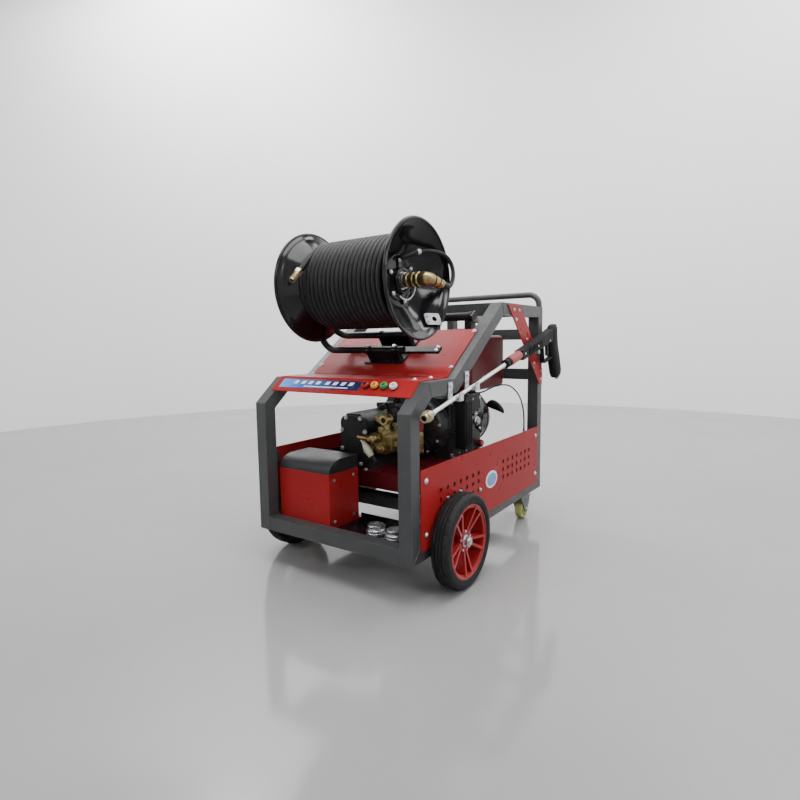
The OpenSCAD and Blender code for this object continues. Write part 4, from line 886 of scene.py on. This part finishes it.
# Battery box: side screws, hinge screws, a folded rim and the battery's terminals
screws = Piece("battery_screws", "zinc", 0.25)
screws.bolts(5.5, [place(-36, y, z, "x", 3 * z) for z in (178, 318) for y in (-408, -508)])
screws.bolts(3.6, [place(x, -381.5, 328, "y") for x in (-248, -232, -68, -52)], False)
rim = Piece("battery_rim", "red_paint", 0.3)
for x in (-264.9, -36.1):
    rim.box((x, -531, 333), (x + 1, -383, 340.2))
rim.box((-264.6, -532.7, 333), (-35.4, -531.7, 340.2))
terminals = Piece("battery_terminals", "brass", 0.4)
for x in (-224, -76):
    terminals.hexagon(13, 330.4, 337, place(x, -456.885, 0))

# Fuel tank with a seam, a neck, a tap and a ribbed cap
NECK = place(70, 165.613, 0)
TAP = place(40, 90, 576, "-z")
# The tank's shell and seam take the darker copy of the red paint: painted shade
Piece("tank_shell", "red_paint", 15.0, finish="shade_painted_red", replaces=("fuel_tank",), segments=4).prism(
    round_box(13.115, 575.5, 318.115, 790.5, 26), -60, 200, YZ)
seam = Piece("tank_seam", "red_paint", 0.8, finish="shade_painted_red")
seam.prism(round_box(9.6, 572, 321.6, 793.2, 28), 68.4, 71.6, YZ)
seam.lathe([(24.0, 786), (25.0, 786), (25.0, 807), (24.2, 808.4), (0, 808.4)], NECK, 40)
seam.ring(25, 34, 789.8, 793.0, NECK, 40, 1.2)
tap = Piece("fuel_tap", "zinc", 0.4).rod(9, 0, 14, TAP).hexagon(16, 14, 24, TAP)
tap.rod(6, 0, 26, place(40, 90, 557, "x"))
cap = Piece("tank_cap_ribbed", "black_plastic", 0.8, "tank_cap", replaces=("fuel_cap",))
cap.lathe([(0, 809.2), (25.4, 809.2), (25.4, 793.6), (29.6, 793.6), (30.4, 794.6), (30.4, 812.5),
           (29.2, 816.2), (25, 818.6), (12, 819.4), (0, 819.4)], NECK, 48)
for turn in ring_of(18):
    cap.box((29.8, -2.4, 796), (32.0, 2.4, 812), NECK @ turn)

# Engine: bolts, side cover and oil filler
COVER_X = 117
CRANK = place(ENGINE_X, 0, CRANK_Z, "y")


def crank_ring(r, y, angles, axis):
    """Places on a circle about the crankshaft."""
    return [place(ENGINE_X + r * math.cos(a), y, CRANK_Z + r * math.sin(a), axis)
            for a in map(math.radians, angles)]


bolts = Piece("engine_bolts", "zinc", 0.25)
bolts.bolts(7, [place(COVER_X, y, z, "x", y) for y in (10, 68, 126, 184, 248) for z in (326, 530)])
bolts.bolts(9, [place(x, y, BED_Z, "z", y) for y in (18, 240) for x in (-150, 122)])
bolts.bolts(5.5, crank_ring(110, 347.2, range(12, 360, 36), "y"))
cover = Piece("engine_cover", "engine_cast", 1.4).prism(round_box(6, 322, 252, 538, 20), COVER_X, 122, YZ)
for z in range(352, 520, 14):
    cover.box((COVER_X, 10, z), (124.5, 32, z + 5))
cover.rod(13, 0, 16, place(122, 150, 340, "x"))
Piece("oil_filler", "red_plastic", 0.6).lathe(
    [(0, 0), (13, 0), (13, 4), (16, 6), (16, 18), (13, 21), (0, 21)], place(122, 232, 338, "x"), 24)

# Fan housing round the flywheel, with lugs and ribs
housing = Piece("fan_housing", "black_paint", 1.0)
housing.lathe([(60, 190), (92, 192), (108, 198), (119, 208), (124.5, 221), (126, 236), (126, 318),
               (124.5, 330), (121, 338), (117.6, 341.5), (116.3, 341.5), (116.3, 262.4), (60, 262.4)],
              CRANK, 96, closed=True)
for turn in ring_of(12, 15):
    housing.box((121, -9, 284), (128, 9, 296), CRANK @ turn)
    housing.box((123, -2, 222), (127.6, 2, 284), CRANK @ turn)

# Bell housing in front of the engine, open on the side where the pump's gear turns
BELL_START = 222
BELL_SWEEP = 260
BELL_RIBS = [spin(a) for a in range(BELL_START + 12, BELL_START + BELL_SWEEP - 6, 18)]
bell = Piece("bell_housing", "engine_cast", 0.6)
bell.lathe([(40, -72), (76, -72), (94, -69), (106, -61), (112, -48), (114, -30), (114, 5), (40, 5)], CRANK,
           96, closed=True, start=BELL_START, sweep=BELL_SWEEP)
for turn in BELL_RIBS:
    bell.box((112.6, -2.2, -44), (116.4, 2.2, 4), CRANK @ turn)
    bell.box((60, -2.2, -74), (92, 2.2, -68), CRANK @ turn)
bell.ring(112, 118, -5, 5.5, CRANK, 96, 1.4)
Piece("bell_bolts", "zinc", 0.25).bolts(6.0, crank_ring(103, -65, (9, 45, 81, 117, 261, 297, 333), "-y"))
# The lip round the fan housing takes the darker copy of the red paint: painted shade
Piece("fan_housing_lip", "red_paint", finish="shade_painted_red").lathe(
    [(122, 306), (126.8, 306), (127.8, 307), (127.8, 312), (126.8, 313), (122, 313)], CRANK, 96, closed=True)

# Carburettor, air cleaner and governor
carb = Piece("carburettor", "zinc", 0.9)
carb.lathe([(0, 0), (15, 0), (18, 3), (18, 22), (15, 27), (7, 29), (7, 34), (0, 34)],
           place(143, 116, 446, "-z"), 36)
carb.box((127, 98, 432), (163, 136, 470))
carb.lathe([(0, 0), (17, 0), (19, 2), (19, 12), (14, 14), (14, 20), (0, 20)], place(163, 116, 452, "x"), 32)
carb.rod(4.5, 0, 26, place(155, 104, 470, "z"))
carb.box((140, 90, 478), (146, 142, 482))
carb.bolts(5, [place(163, y, 437, "x") for y in (104, 130)], False)
cleaner = Piece("air_cleaner_ribs", "black_plastic", 1.2)
for y in (46, 63, 80):
    cleaner.lathe([(0, 0), (6.5, 0), (7.5, 3), (7.5, 166), (6.0, 172), (0, 172)], place(164, y, 362), 24)
cleaner.box((116, 34.6, 540), (168, 91.6, 553))
cleaner.rod(9, 0, 12, place(145, 78, 553, "z"))
lever = Piece("governor_plate", "chrome", 1.0)
lever.prism([(150, 398), (170, 396), (178, 430), (188, 478), (182, 486), (118, 488), (110, 480), (132, 440)],
            164.5, 168, YZ)
lever.rod(7, 168, 172, place(0, 160, 414, "x"))
lever.rod(5, 168, 171, place(0, 126, 478, "x"))
Piece("governor_dial", "black_plastic", 0.6).lathe(
    [(0, 0), (15, 0), (16, 1.5), (16, 8), (13, 10), (13, 6), (0, 6)], place(168, 152, 462, "x"), 32)

# Starter: a red rim, a grille and the moulded grip; and the cap of the ignition
GRIP_AT = (104, 361.113, 483.5)
GRIP_ROWS = ((0, 8, 9, 6), (8, 11, 15, 7), (20, 13, 20, 7), (34, 14, 21, 4), (48, 14, 19, -2),
             (60, 13, 16, -9), (69, 11, 13, -16), (75, 8, 10, -21), (78, 4, 5, -24))
Piece("starter_rim", "red_paint").lathe(
    [(106.5, 347.0), (113.5, 347.0), (116.4, 345.4), (117.2, 342.6), (116.4, 338.5), (115.9, 338.5),
     (115.9, 346.8), (106.5, 346.8)], CRANK, 72, closed=True)
grille = Piece("starter_grille", "black_plastic")
for r in (36, 50, 74, 88):
    grille.ring(r - 1.6, r + 1.6, 374.4, 377.6, CRANK, 56, 0.7)
grille.rod(20, 370, 378.6, CRANK, 36, 2.0)
grip = Piece("starter_grip_moulded", "black_plastic", body="starter_grip", replaces=("recoil_handle",))
grip_rings = [[(x, y, drop + z) for y, z in oval(wide, tall, 24)] for x, wide, tall, drop in GRIP_ROWS]
grip.loft(grip_rings, move(*GRIP_AT))
Piece("ignition_cap", "rubber").lathe(
    [(0, 0), (9, 0), (9.4, 8), (7.4, 24), (5, 28), (0, 28)], place(-222, 116, 586, "-x"), 24)

# Pump: ribs, covers and bolts
PUMP_FRONT = -307.4
ribs = Piece("pump_ribs", "engine_cast", 1.0)
for y in range(-276, -80, 28):
    ribs.box((-177.4, y, 340), (-174.6, y + 7, 478))
for x in range(-140, -100, 18):
    ribs.box((x, -288, 509), (x + 6, -76, 512.4))
ribs.prism(round_box(-174.5, 322, -53, 503, 26), 296.5, 307.5, XZ)
ribs.prism(round_box(-160, 336, -68, 488, 20), 307.5, 309.5, XZ)
ribs.lathe([(0, 0), (14, 0), (14, 8), (17, 10), (17, 22), (14, 25), (0, 25)], place(-120, -130, 510.5), 28)
bolts = Piece("pump_bolts", "zinc", 0.25)
for x in (-167.5, -60.0):
    bolts.bolts(8.0, [place(x, PUMP_FRONT, z, "-y", z) for z in (380, 449)])
    bolts.bolts(8.0, [place(x * 0.6 - 45, PUMP_FRONT, z, "-y") for z in (329.5, 495.5)])
bolts.bolts(8, [place(x, y, BED_Z, "z", x) for y in (-306, -80) for x in (-168, -62)])

# Pump: brass plugs, hexagons, rings and pipework
UNLOADER = place(110.2, -216.9, 0)
OUTLET = place(39, -216.9, 407.5, "x")
INLET = place(-15.8, -290, 428.5, "-y")
DRAIN = place(6, -290, 392, "-y")
RISER = place(19, -282, 446)
RISER_ARM = place(-4, -282, 496, "-x")
brass = Piece("pump_brass", "brass", 0.5)
for y in (-251, -182, -113):
    brass.bolt(9, place(-17, y, 462.4, "z", y), False)
    brass.rod(7, 0, 5, place(52, y, 407.5, "x"))
for z in (384, 396, 408):
    brass.ring(13.5, 17.5, z, z + 5, UNLOADER, 36, 0.8)
for across, low, high, at in ((36, 376.5, 386, UNLOADER), (34, 430, 446, UNLOADER), (32, 8, 24, OUTLET),
                              (30, 40, 54, OUTLET), (32, 0, 14, INLET), (28, 0, 16, DRAIN),
                              (30, 0, 16, RISER), (30, 0, 14, RISER_ARM)):
    brass.hexagon(across, low, high, at)
brass.lathe([(0, -14), (12, -13), (14.6, -6), (15, 0), (14.6, 6), (12, 13), (0, 14)],
            place(-15.8, -317, 428.5), 32)
brass.rod(10, 16, 30, DRAIN)
brass.rod(12, 0, 42, RISER)
brass.lathe([(0, 26), (9.5, 26), (9.5, 0), (17.5, 0), (19.5, 2), (19.5, 12), (17.5, 14), (15.5, 14),
             (15.5, 22), (18.5, 24), (18.5, 36), (14, 40), (0, 40)], place(19, -304, 496, "y", 30), 40)
brass.rod(10, 14, 26, RISER_ARM)

# Pump: relief valve, pressure knob and the engine's rubber feet
VALVE = place(-17, -216, 462)
VALVE_ARM = place(-17, -216, 536, "-y")
KNOB = place(110.21, -216.887, 0)
valve = Piece("relief_valve", "black_plastic", 0.7)
valve.lathe([(0, 0), (10, 0), (10, 34), (15, 36), (15, 48), (9, 50), (9, 62), (19, 64), (20, 66), (20, 84),
             (18, 88), (8, 90), (0, 90)], VALVE, 36)
valve.hexagon(26, 36, 48, VALVE)
valve.rod(7, 0, 34, VALVE_ARM)
valve.lathe([(0, 34), (9, 34), (11, 36), (11, 50), (8, 53), (0, 53)], VALVE_ARM, 28)
knob = Piece("pressure_knob_ribbed", "red_plastic", 1.0, "pressure_knob", replaces=("unloader_knob",))
knob.lathe([(0, 484.5), (5.6, 484.5), (5.6, 454.6), (7.3, 452.6), (14, 452.6), (15.6, 454), (15.6, 498),
            (14.6, 503), (11, 506.4), (6, 508), (0, 508.3)], KNOB, 40)
for turn in ring_of(12):
    valve.box((19, -1.8, 67), (21.2, 1.8, 83), VALVE @ turn)
    knob.box((14.6, -2.6, 457), (17.8, 2.6, 499), KNOB @ turn)
feet = Piece("engine_mounts", "rubber")
for y in (-256.887, 203.113):
    for x in (-155, 105):
        feet.lathe([(0, 217.6), (23, 217.6), (23, 221), (20.6, 223), (18, 235), (20.6, 247), (23, 249),
                    (23, 252.4), (0, 252.4)], place(x, y, 0), 36)

# Water fittings: two couplings on the tray, and the inlet's elbow, cone and spigot
TRAY_TOP = 155.5
INLET_Y = -315.887
INLET_Z = 428.5
ELBOW = place(-14, INLET_Y, INLET_Z, "-x")
CONE_X = -74.79
CONE = move(CONE_X, INLET_Y, INLET_Z) @ Matrix.Rotation(math.radians(142), 4, "Y")
couplings = Piece("tray_couplings", "zinc", 0.8, replaces=("water_fittings",))
for x, y in ((100, -463.887), (180, -469.887)):
    at = place(x, y, TRAY_TOP)
    couplings.lathe([(19, 28.6), (19, 0), (31.5, 0), (31.5, 3), (29.5, 4.2), (31.5, 5.4), (31.5, 12),
                     (30, 13.4), (26, 14), (25, 15.6), (26.6, 17.4), (27, 18.4), (27, 26.6), (26, 28.4),
                     (24.6, 29)], at, 56, closed=True)
    for turn in ring_of(3, 35):
        couplings.box((26, -6, 18.6), (30.5, 6, 26.4), at @ turn)
brass = Piece("inlet_elbow", "brass", 0.4).rod(13, 0, 40.5, place(-15.8, -329.4, INLET_Z, "y"), 32)
brass.rod(9, 0, 66, ELBOW).hexagon(22, 12, 24, ELBOW).ring(8.5, 11.6, 26, 34, ELBOW, 32, 1.0)
brass.lathe([(0, -11), (8, -10), (11, -4), (11.4, 0), (11, 4), (8, 10), (0, 11)],
            place(CONE_X, INLET_Y, INLET_Z, "x"), 28)
Piece("inlet_sleeve", "brass", finish="copper").ring(9.0, 10.8, 36, 50, ELBOW, 32, 1.6)
Piece("inlet_cone", "white_plastic", 0.4, finish="cream_plastic").lathe(
    [(0, 4), (7.4, 4), (7.8, 10), (6.4, 12), (6.4, 22), (8.6, 26), (12.4, 40), (13.6, 50), (14, 66),
     (13, 69), (11.2, 70), (11.2, 80), (0, 80)], CONE, 32)
profile = [(0, 70.5), (11.0, 70.5), (11.0, 79.0), (9.4, 80.0)]
for d in (80, 86, 92, 98):
    profile += [(9.0, d), (10.2, d + 1.0), (9.2, d + 5.4)]
profile += [(8.8, 105.0), (6.2, 105.0), (6.0, 90.0), (0, 90.0)]
Piece("inlet_spigot", "black_plastic").lathe(profile, CONE, 32)

# Reel: pressed flanges with rolled rims, ribs and bolts round the hub
REEL_SIDES = [place(0, REEL_Y, REEL_Z, axis) for axis in ("x", "-x")]
HUB_RIBS = ring_of(6, 10)


def flange_face(r):
    """The pressed flange's face at a radius, with a swage near its rim."""
    t = (r - BARREL_R) / FLANGE_WIDE
    return FLANGE_X + FLANGE_DEEP * max(t, 0.0) ** 1.1 + 1.4 * math.exp(-((t - 0.78) / 0.05) ** 2)


radii = [BARREL_R + 98 * i / 22 for i in range(23)]
flange = [(20.3, 138), (83, 138), (85, 140.5)] + [(r, flange_face(r)) for r in radii]
flange += arc(183.5, 221, 5.5, -110, 140, 14) + [(r - 2.2, flange_face(r) + 3.4) for r in radii[::-1]]
flange += [(80, 150.6), (74, 150), (20.3, 150)]
drum = Piece("reel_drum_pressed", "black_paint", 0.8, "reel", replaces=("reel_drum",))
drum.ring(81, BARREL_R, -139, 139, REEL_SIDES[0], 64, 0.3)
bolts = Piece("reel_bolts", "zinc", 0.25, "reel")
for at in REEL_SIDES:
    drum.lathe(flange, at, 96, closed=True)
    drum.ring(30, 42, 150, 165, at, 48, 1.4)
    for turn in HUB_RIBS:
        drum.prism([(41, -9), (74, -5), (74, 5), (41, 9)], 150, 155.5, at @ turn)
        bolts.bolt(6.5, at @ turn @ move(65, 0, 155.5))

# In the dish: a strap, a plate with a hole, and the jumper's sleeve and clamp
SLEEVE_STEPS = 24
STRAP_PLATE = on_reel(209, 96, -120) @ pointing(Vector((1.0, -0.45, 0.56)).normalized(), "Y")
strap = Piece("dish_strap", "zinc", 0.5, "reel")
strap.lathe([(58, 156), (61.5, 156), (61.5, 170), (58, 170)], REEL_SIDES[0], 24, closed=True, start=-35,
            sweep=110)
strap.frame(round_box(-30, -21, 30, 21, 9), arc(6, 0, 9, 9, 9 + 12.857 * 27, 27), 0, 3.2, STRAP_PLATE)
strap.bolts(6.0, [STRAP_PLATE @ move(-19, y, 3.2) for y in (-8, 10)])
Piece("jumper_sleeve", "rubber", 0.8, "reel").tube(jumper_points[-SLEEVE_STEPS:-2], 9.8, 20)
Piece("jumper_clamp", "zinc", 0.6, "reel").tube(jumper_points[-SLEEVE_STEPS - 3:-SLEEVE_STEPS + 1], 10.4, 24)

# Swivel joint on the reel's spigot, and the crimp of the jumper
SWIVEL_TAIL = on_reel(ELBOW_X, 0, 0) @ pointing(TAIL_WAY)
joint = Piece("swivel_brass", "brass", 0.5, "reel", replaces=("swivel_joint",))
joint.lathe([(13.4, 208.9), (13.4, 172), (20.5, 172), (22, 173.5), (22, 184), (20, 185.4), (20, 188),
             (22, 189.4), (22, 204), (19.4, 206), (19.4, 226), (21.4, 228), (22, 232), (22, 246),
             (20.5, 252), (16, 262), (9, 271), (0, 274.4), (0, 208.9)], REEL_SIDES[0], 44)
joint.hexagon(43, 209.4, 224, REEL_SIDES[0])
joint.lathe([(0, 0), (20, 4), (20, 14), (15, 22), (11, 26), (11, 52), (11, 86), (8.6, 90), (8.6, 114.9),
             (0, 114.9)], SWIVEL_TAIL, 36)
joint.hexagon(33, 26, 40, SWIVEL_TAIL)
joint.ring(10.5, 16.6, 40, 50, SWIVEL_TAIL, 36, 1.2)
joint.hexagon(27, 60, 74, SWIVEL_TAIL)
joint.ring(8, 13.6, 74, 84, SWIVEL_TAIL, 36, 1.0)
Piece("jumper_crimp", "black_plastic", body="reel").lathe(
    [(7.4, 88), (9.6, 88), (10.2, 89), (10.2, 95), (9.4, 96), (9.4, 98), (10.2, 99), (10.2, 105), (9.4, 106),
     (9.4, 108), (10.2, 109), (10.2, 122), (9.6, 124), (7.4, 124)], SWIVEL_TAIL, 32, closed=True)

# Lance, drawn along its own axis
LANCE_TILT = math.radians(13)
LANCE_Y = -556.892
LANCE_Z = 556.5
LANCE = move(345, LANCE_Y, LANCE_Z) @ Matrix.Rotation(LANCE_TILT, 4, "X")
LANCE_SIDE = LANCE @ YZ
LANCE_AXIS = LANCE @ WAYS["y"]
socket = Piece("lance_socket", "brass", 0.3, "gun", finish="pale_brass", replaces=("lance",))
socket.lathe([(8, 24), (8, 1.5), (9, 0), (12.6, 0), (14, 1.4), (14, 7), (12.8, 8), (12.8, 10), (16, 11.5),
              (16, 30), (15, 31.5), (12, 32.5), (12, 36), (10, 45), (0, 45), (0, 24)], LANCE_AXIS, 44)
for turn in ring_of(24):
    socket.box((15.2, -1.0, 13), (16.6, 1.0, 29), LANCE_AXIS @ turn)
pipe = Piece("lance_pipe", "chrome", 0.3, "gun")
pipe.lathe([(0, 44), (7, 44), (7, 566.8), (0, 566.8)], LANCE_AXIS, 28)
pipe.hexagon(17, 45, 57, LANCE_AXIS)
pipe.ring(6.8, 9.0, 548, 566.8, LANCE_AXIS, 28, 0.8)

# Gun: body with its guard, moulded handle, red sleeve, inlet, screws and trigger
TRIGGER_PIVOT = (997, -16)
HANDLE_ROWS = ((36, 1079, 10, 8), (34.5, 1079, 18, 13), (29, 1078, 26, 17), (14, 1073, 33, 20),
               (-20, 1064, 38, 20.5), (-60, 1064, 39, 20.5), (-84, 1069, 39, 20.5), (-120, 1076, 39, 20.5),
               (-155, 1082, 38, 20.5), (-182, 1086, 35, 20), (-193, 1087, 31, 18), (-198, 1088, 25, 14))


def handle_ring(z, middle, deep, wide):
    """A rounded rectangle across the handle."""
    return [(wide * power(math.cos(a)), middle + deep * power(math.sin(a)), z) for a in turns(32)]


gun = Piece("gun_body_moulded", "black_plastic", 3.6, "gun", "grip_rubber", ("spray_gun",), 3)
gun.lathe([(7.2, 566), (14, 566), (16.4, 568.5), (16.4, 584), (14.6, 586), (14.6, 590), (16.8, 592),
           (16.8, 600), (16.0, 601), (0, 601)], LANCE_AXIS, 36)
gun.prism([(696, -20), (890, -24), (1050, -25), (1056, 0), (1050, 24), (1010, 22), (880, 17), (700, 16)],
          -17, 17, LANCE_SIDE)
for y in range(760, 910, 14):
    for x in (-17.6, 17.6):
        gun.box((x - 1.6, y, -14), (x + 1.6, y + 6, 10), LANCE)
gun.frame([(933, -24), (1045, -24), (1055, -62), (1061, -100), (947, -100), (933, -86)],
          [(941, -25), (1043, -25), (1049, -62), (1053, -92), (951, -92), (941, -82)], -9, 9, LANCE_SIDE)
handle = Piece("gun_handle_moulded", "black_plastic", body="gun", finish="grip_rubber")
handle.loft([handle_ring(*row) for row in HANDLE_ROWS], LANCE)
for i in range(7):
    handle.loft([handle_ring(-92 - 13 * i + h, 1070.5 + 2.35 * i, 39.4, 21.3) for h in (-2.6, 2.6)], LANCE)
sleeve = Piece("gun_sleeve", "red_plastic", 0.6, "gun")
sleeve.lathe([(7.2, 600), (15.4, 600), (17.0, 603), (17.4, 640), (16.6, 650), (17.4, 660), (17.4, 690),
              (16.6, 697), (7.2, 697)], LANCE_AXIS, 36, closed=True)
for turn in ring_of(14):
    sleeve.box((16.2, -1.5, 608), (17.9, 1.5, 640), LANCE_AXIS @ turn)
gun_base = LANCE @ place(0, 1096, -196, "-z")
Piece("gun_inlet", "brass", 0.4, "gun").hexagon(22, 0, 9, gun_base).rod(8, 9, 16, gun_base)
pins = Piece("gun_screws", "zinc", body="gun")
for y, z in ((720, 0), (860, -4), TRIGGER_PIVOT, (1092, -120)):
    for k in (-1, 1):
        pins.rod(4.2, 0, 1.6, LANCE @ place(k * 17.8, y, z, outward(k)), 20, 0.5)
trigger = Piece("trigger_moulded", "black_plastic", 2.0, "trigger", replaces=("gun_trigger",), segments=3)
trigger.prism([(-8, 2), (-7, -30), (-11, -58), (-8, -64), (-2, -62), (3, -48), (6, -30), (8, 0), (6, 7),
               (0, 8.4), (-6, 6)], -6, 6, LANCE @ move(0, *TRIGGER_PIVOT) @ YZ)

# Rack: hooks under the lance, the brace plate behind the gun, and its peg
PEG_Y = 293.108
HOOK_X = 317.2
HOOK_HALF = 12.5
HOOKS = ((-359.887, 644.5), (-250.887, 672.5))
BRACE_X = 321
BRACE = [(74.115, 901.5), (411.115, 581.5), (443.115, 581.5), (443.115, 645.5), (198.115, 901.5)]


def lance_height(y):
    return LANCE_Z + (y - LANCE_Y) * math.tan(LANCE_TILT)


hooks = Piece("lance_hooks", "zinc", 0.9, replaces=("gun_rack",))
for y, top in HOOKS:
    seat = lance_height(y) - 7 / math.cos(LANCE_TILT) - HOOK_HALF * math.tan(LANCE_TILT) - 0.5
    path = [(HOOK_X, top), (321.2, top), (321.2, seat), (355.8, seat), (355.8, seat + 22), (360, seat + 22),
            (360, seat - 4), (HOOK_X, seat - 4)]
    hooks.prism(path[::-1], y - HOOK_HALF, y + HOOK_HALF, XZ @ Matrix.Scale(-1, 4, (0, 0, 1)))
Piece("rear_brace", "red_paint", 0.8).prism(BRACE, HALF_W + 0.1, BRACE_X, YZ)
peg_at = place(0, PEG_Y, lance_height(PEG_Y) - 31 / math.cos(LANCE_TILT) - 0.5, "x")
Piece("gun_peg", "zinc").rod(6, BRACE_X, 363, peg_at, 24, 1.2).rod(7.6, 359, 363, peg_at, 24, 1.2)
bolts = Piece("rack_bolts", "zinc", 0.3)
bolts.bolts(6.0, [place(BRACE_X, y, z, "x", y) for y, z in (
    (128, 884), (176, 884), (150, 848), (421, 604), (429, 636), (262, 772), (342, 676))])
bolts.bolts(6.0, [place(321.2, y, top - 12.5, "x", y) for y, top in HOOKS])

# Reel stand, push handle and guide roller: clamps, end caps, bolts and collars
STAND_X = (-58, 58)
STAND_S = (92, 184)
HANDLE_X = 294.5
HANDLE_Y = 463.615
ROLLER = [on_slope(0, 342, 7) @ WAYS[axis] for axis in ("x", "-x")]
clamps = Piece("stand_clamps", "black_paint", 0.5)
for s in STAND_S:
    for x in STAND_X:
        clamps.ring(12.6, 15.8, -9, 9, on_slope(x, s, 44) @ WAYS["x"], 32, 0.8)
    clamps.rod(13.2, 0, 4, on_slope(90, s, 44) @ WAYS["x"], 28, 1.2)
bolts = Piece("stand_bolts", "zinc", 0.3)
bolts.bolts(7, [on_slope(x, s, 59.4) for x in STAND_X for s in STAND_S])
bolts.bolts(6, [on_slope(226, s, 48) for s in (83.6, 100.4)])
nuts = Piece("handle_clamps", "zinc", 0.3)
for x in (-HANDLE_X, HANDLE_X):
    for z in (777.5, 872.5):
        nuts.bolt(7, place(x, 476.2, z, "y", z))
        nuts.ring(12.6, 14.6, -12, 12, place(x, HANDLE_Y, z), 32, 0.6)
    nuts.ring(12.7, 14.2, 757.8, 762, place(x, HANDLE_Y, 0), 32, 0.5)
collars = Piece("roller_collars", "rubber", body="roller")
for at in ROLLER:
    collars.ring(14.6, 17.5, 226, 240, at, 36, 1.0)
for x in (-120, 0, 120):
    collars.ring(14.8, 16.2, x - 3, x + 3, ROLLER[0], 36, 0.8)

# Cable ends
boots = Piece("cable_boots", "black_plastic", 0.4)
boots.lathe([(0, -1), (5.4, -1), (5.4, 6), (4.2, 12), (3.2, 22), (0, 22)], place(*CABLE_START), 20)
boots.lathe([(0, -1), (5.4, -1), (5.4, 8), (4.2, 16), (3.2, 30), (0, 30)], place(*CABLE_CLIP), 20)

for piece in PIECES:
    piece.build()

# The studio: a round floor, a wall that leans out, and soft lights
ROOM_R = 4600
FLOOR_Z = -0.2
WALL_LEAN = 10
WALL_STEP = 500
LIGHTS = (
    ("top_light", (0.3, -0.6, 3.4), (0, -0.1, 0.4), 2.4, 140.0),
    ("front_light", (-2.0, -3.4, 3.0), (0, -0.2, 0.5), 0.8, 40.0),
    ("side_light", (3.6, -1.2, 2.6), (0.2, 0, 0.5), 1.2, 55.0),
    ("wall_light_left", (-3.0, 1.6, 4.6), (-3.4, 4.0, 1.0), 2.4, 200.0),
    ("wall_light_right", (1.6, 2.6, 4.6), (1.0, 4.8, 1.0), 2.4, 170.0),
)


def make_studio():
    floor = Shape().lathe([(0, 0), (ROOM_R, 0)], place(0, 0, FLOOR_Z), 96)
    wall_line = [(ROOM_R, FLOOR_Z)] + [(ROOM_R + WALL_LEAN * i, WALL_STEP * i) for i in range(1, 17)]
    wall = Shape().lathe(wall_line, sides=96)
    floor.make("studio_floor", "studio_floor")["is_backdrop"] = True
    wall.make("studio_wall", "studio_wall")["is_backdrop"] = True
    world = bpy.data.worlds.new("studio")
    world.use_nodes = True
    back_light = world.node_tree.nodes["Background"]
    back_light.inputs["Color"].default_value = (0.95, 0.97, 1.0, 1.0)
    back_light.inputs["Strength"].default_value = 0.25
    bpy.context.scene.world = world
    for name, at, aim, size, watts in LIGHTS:
        data = bpy.data.lights.new(name, "AREA")
        data.size = size
        data.energy = watts
        lamp = bpy.data.objects.new(name, data)
        lamp.location = at
        lamp.rotation_mode = "QUATERNION"
        lamp.rotation_quaternion = (Vector(aim) - Vector(at)).to_track_quat("-Z", "Y")
        bpy.context.scene.collection.objects.link(lamp)


make_studio()

low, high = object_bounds()
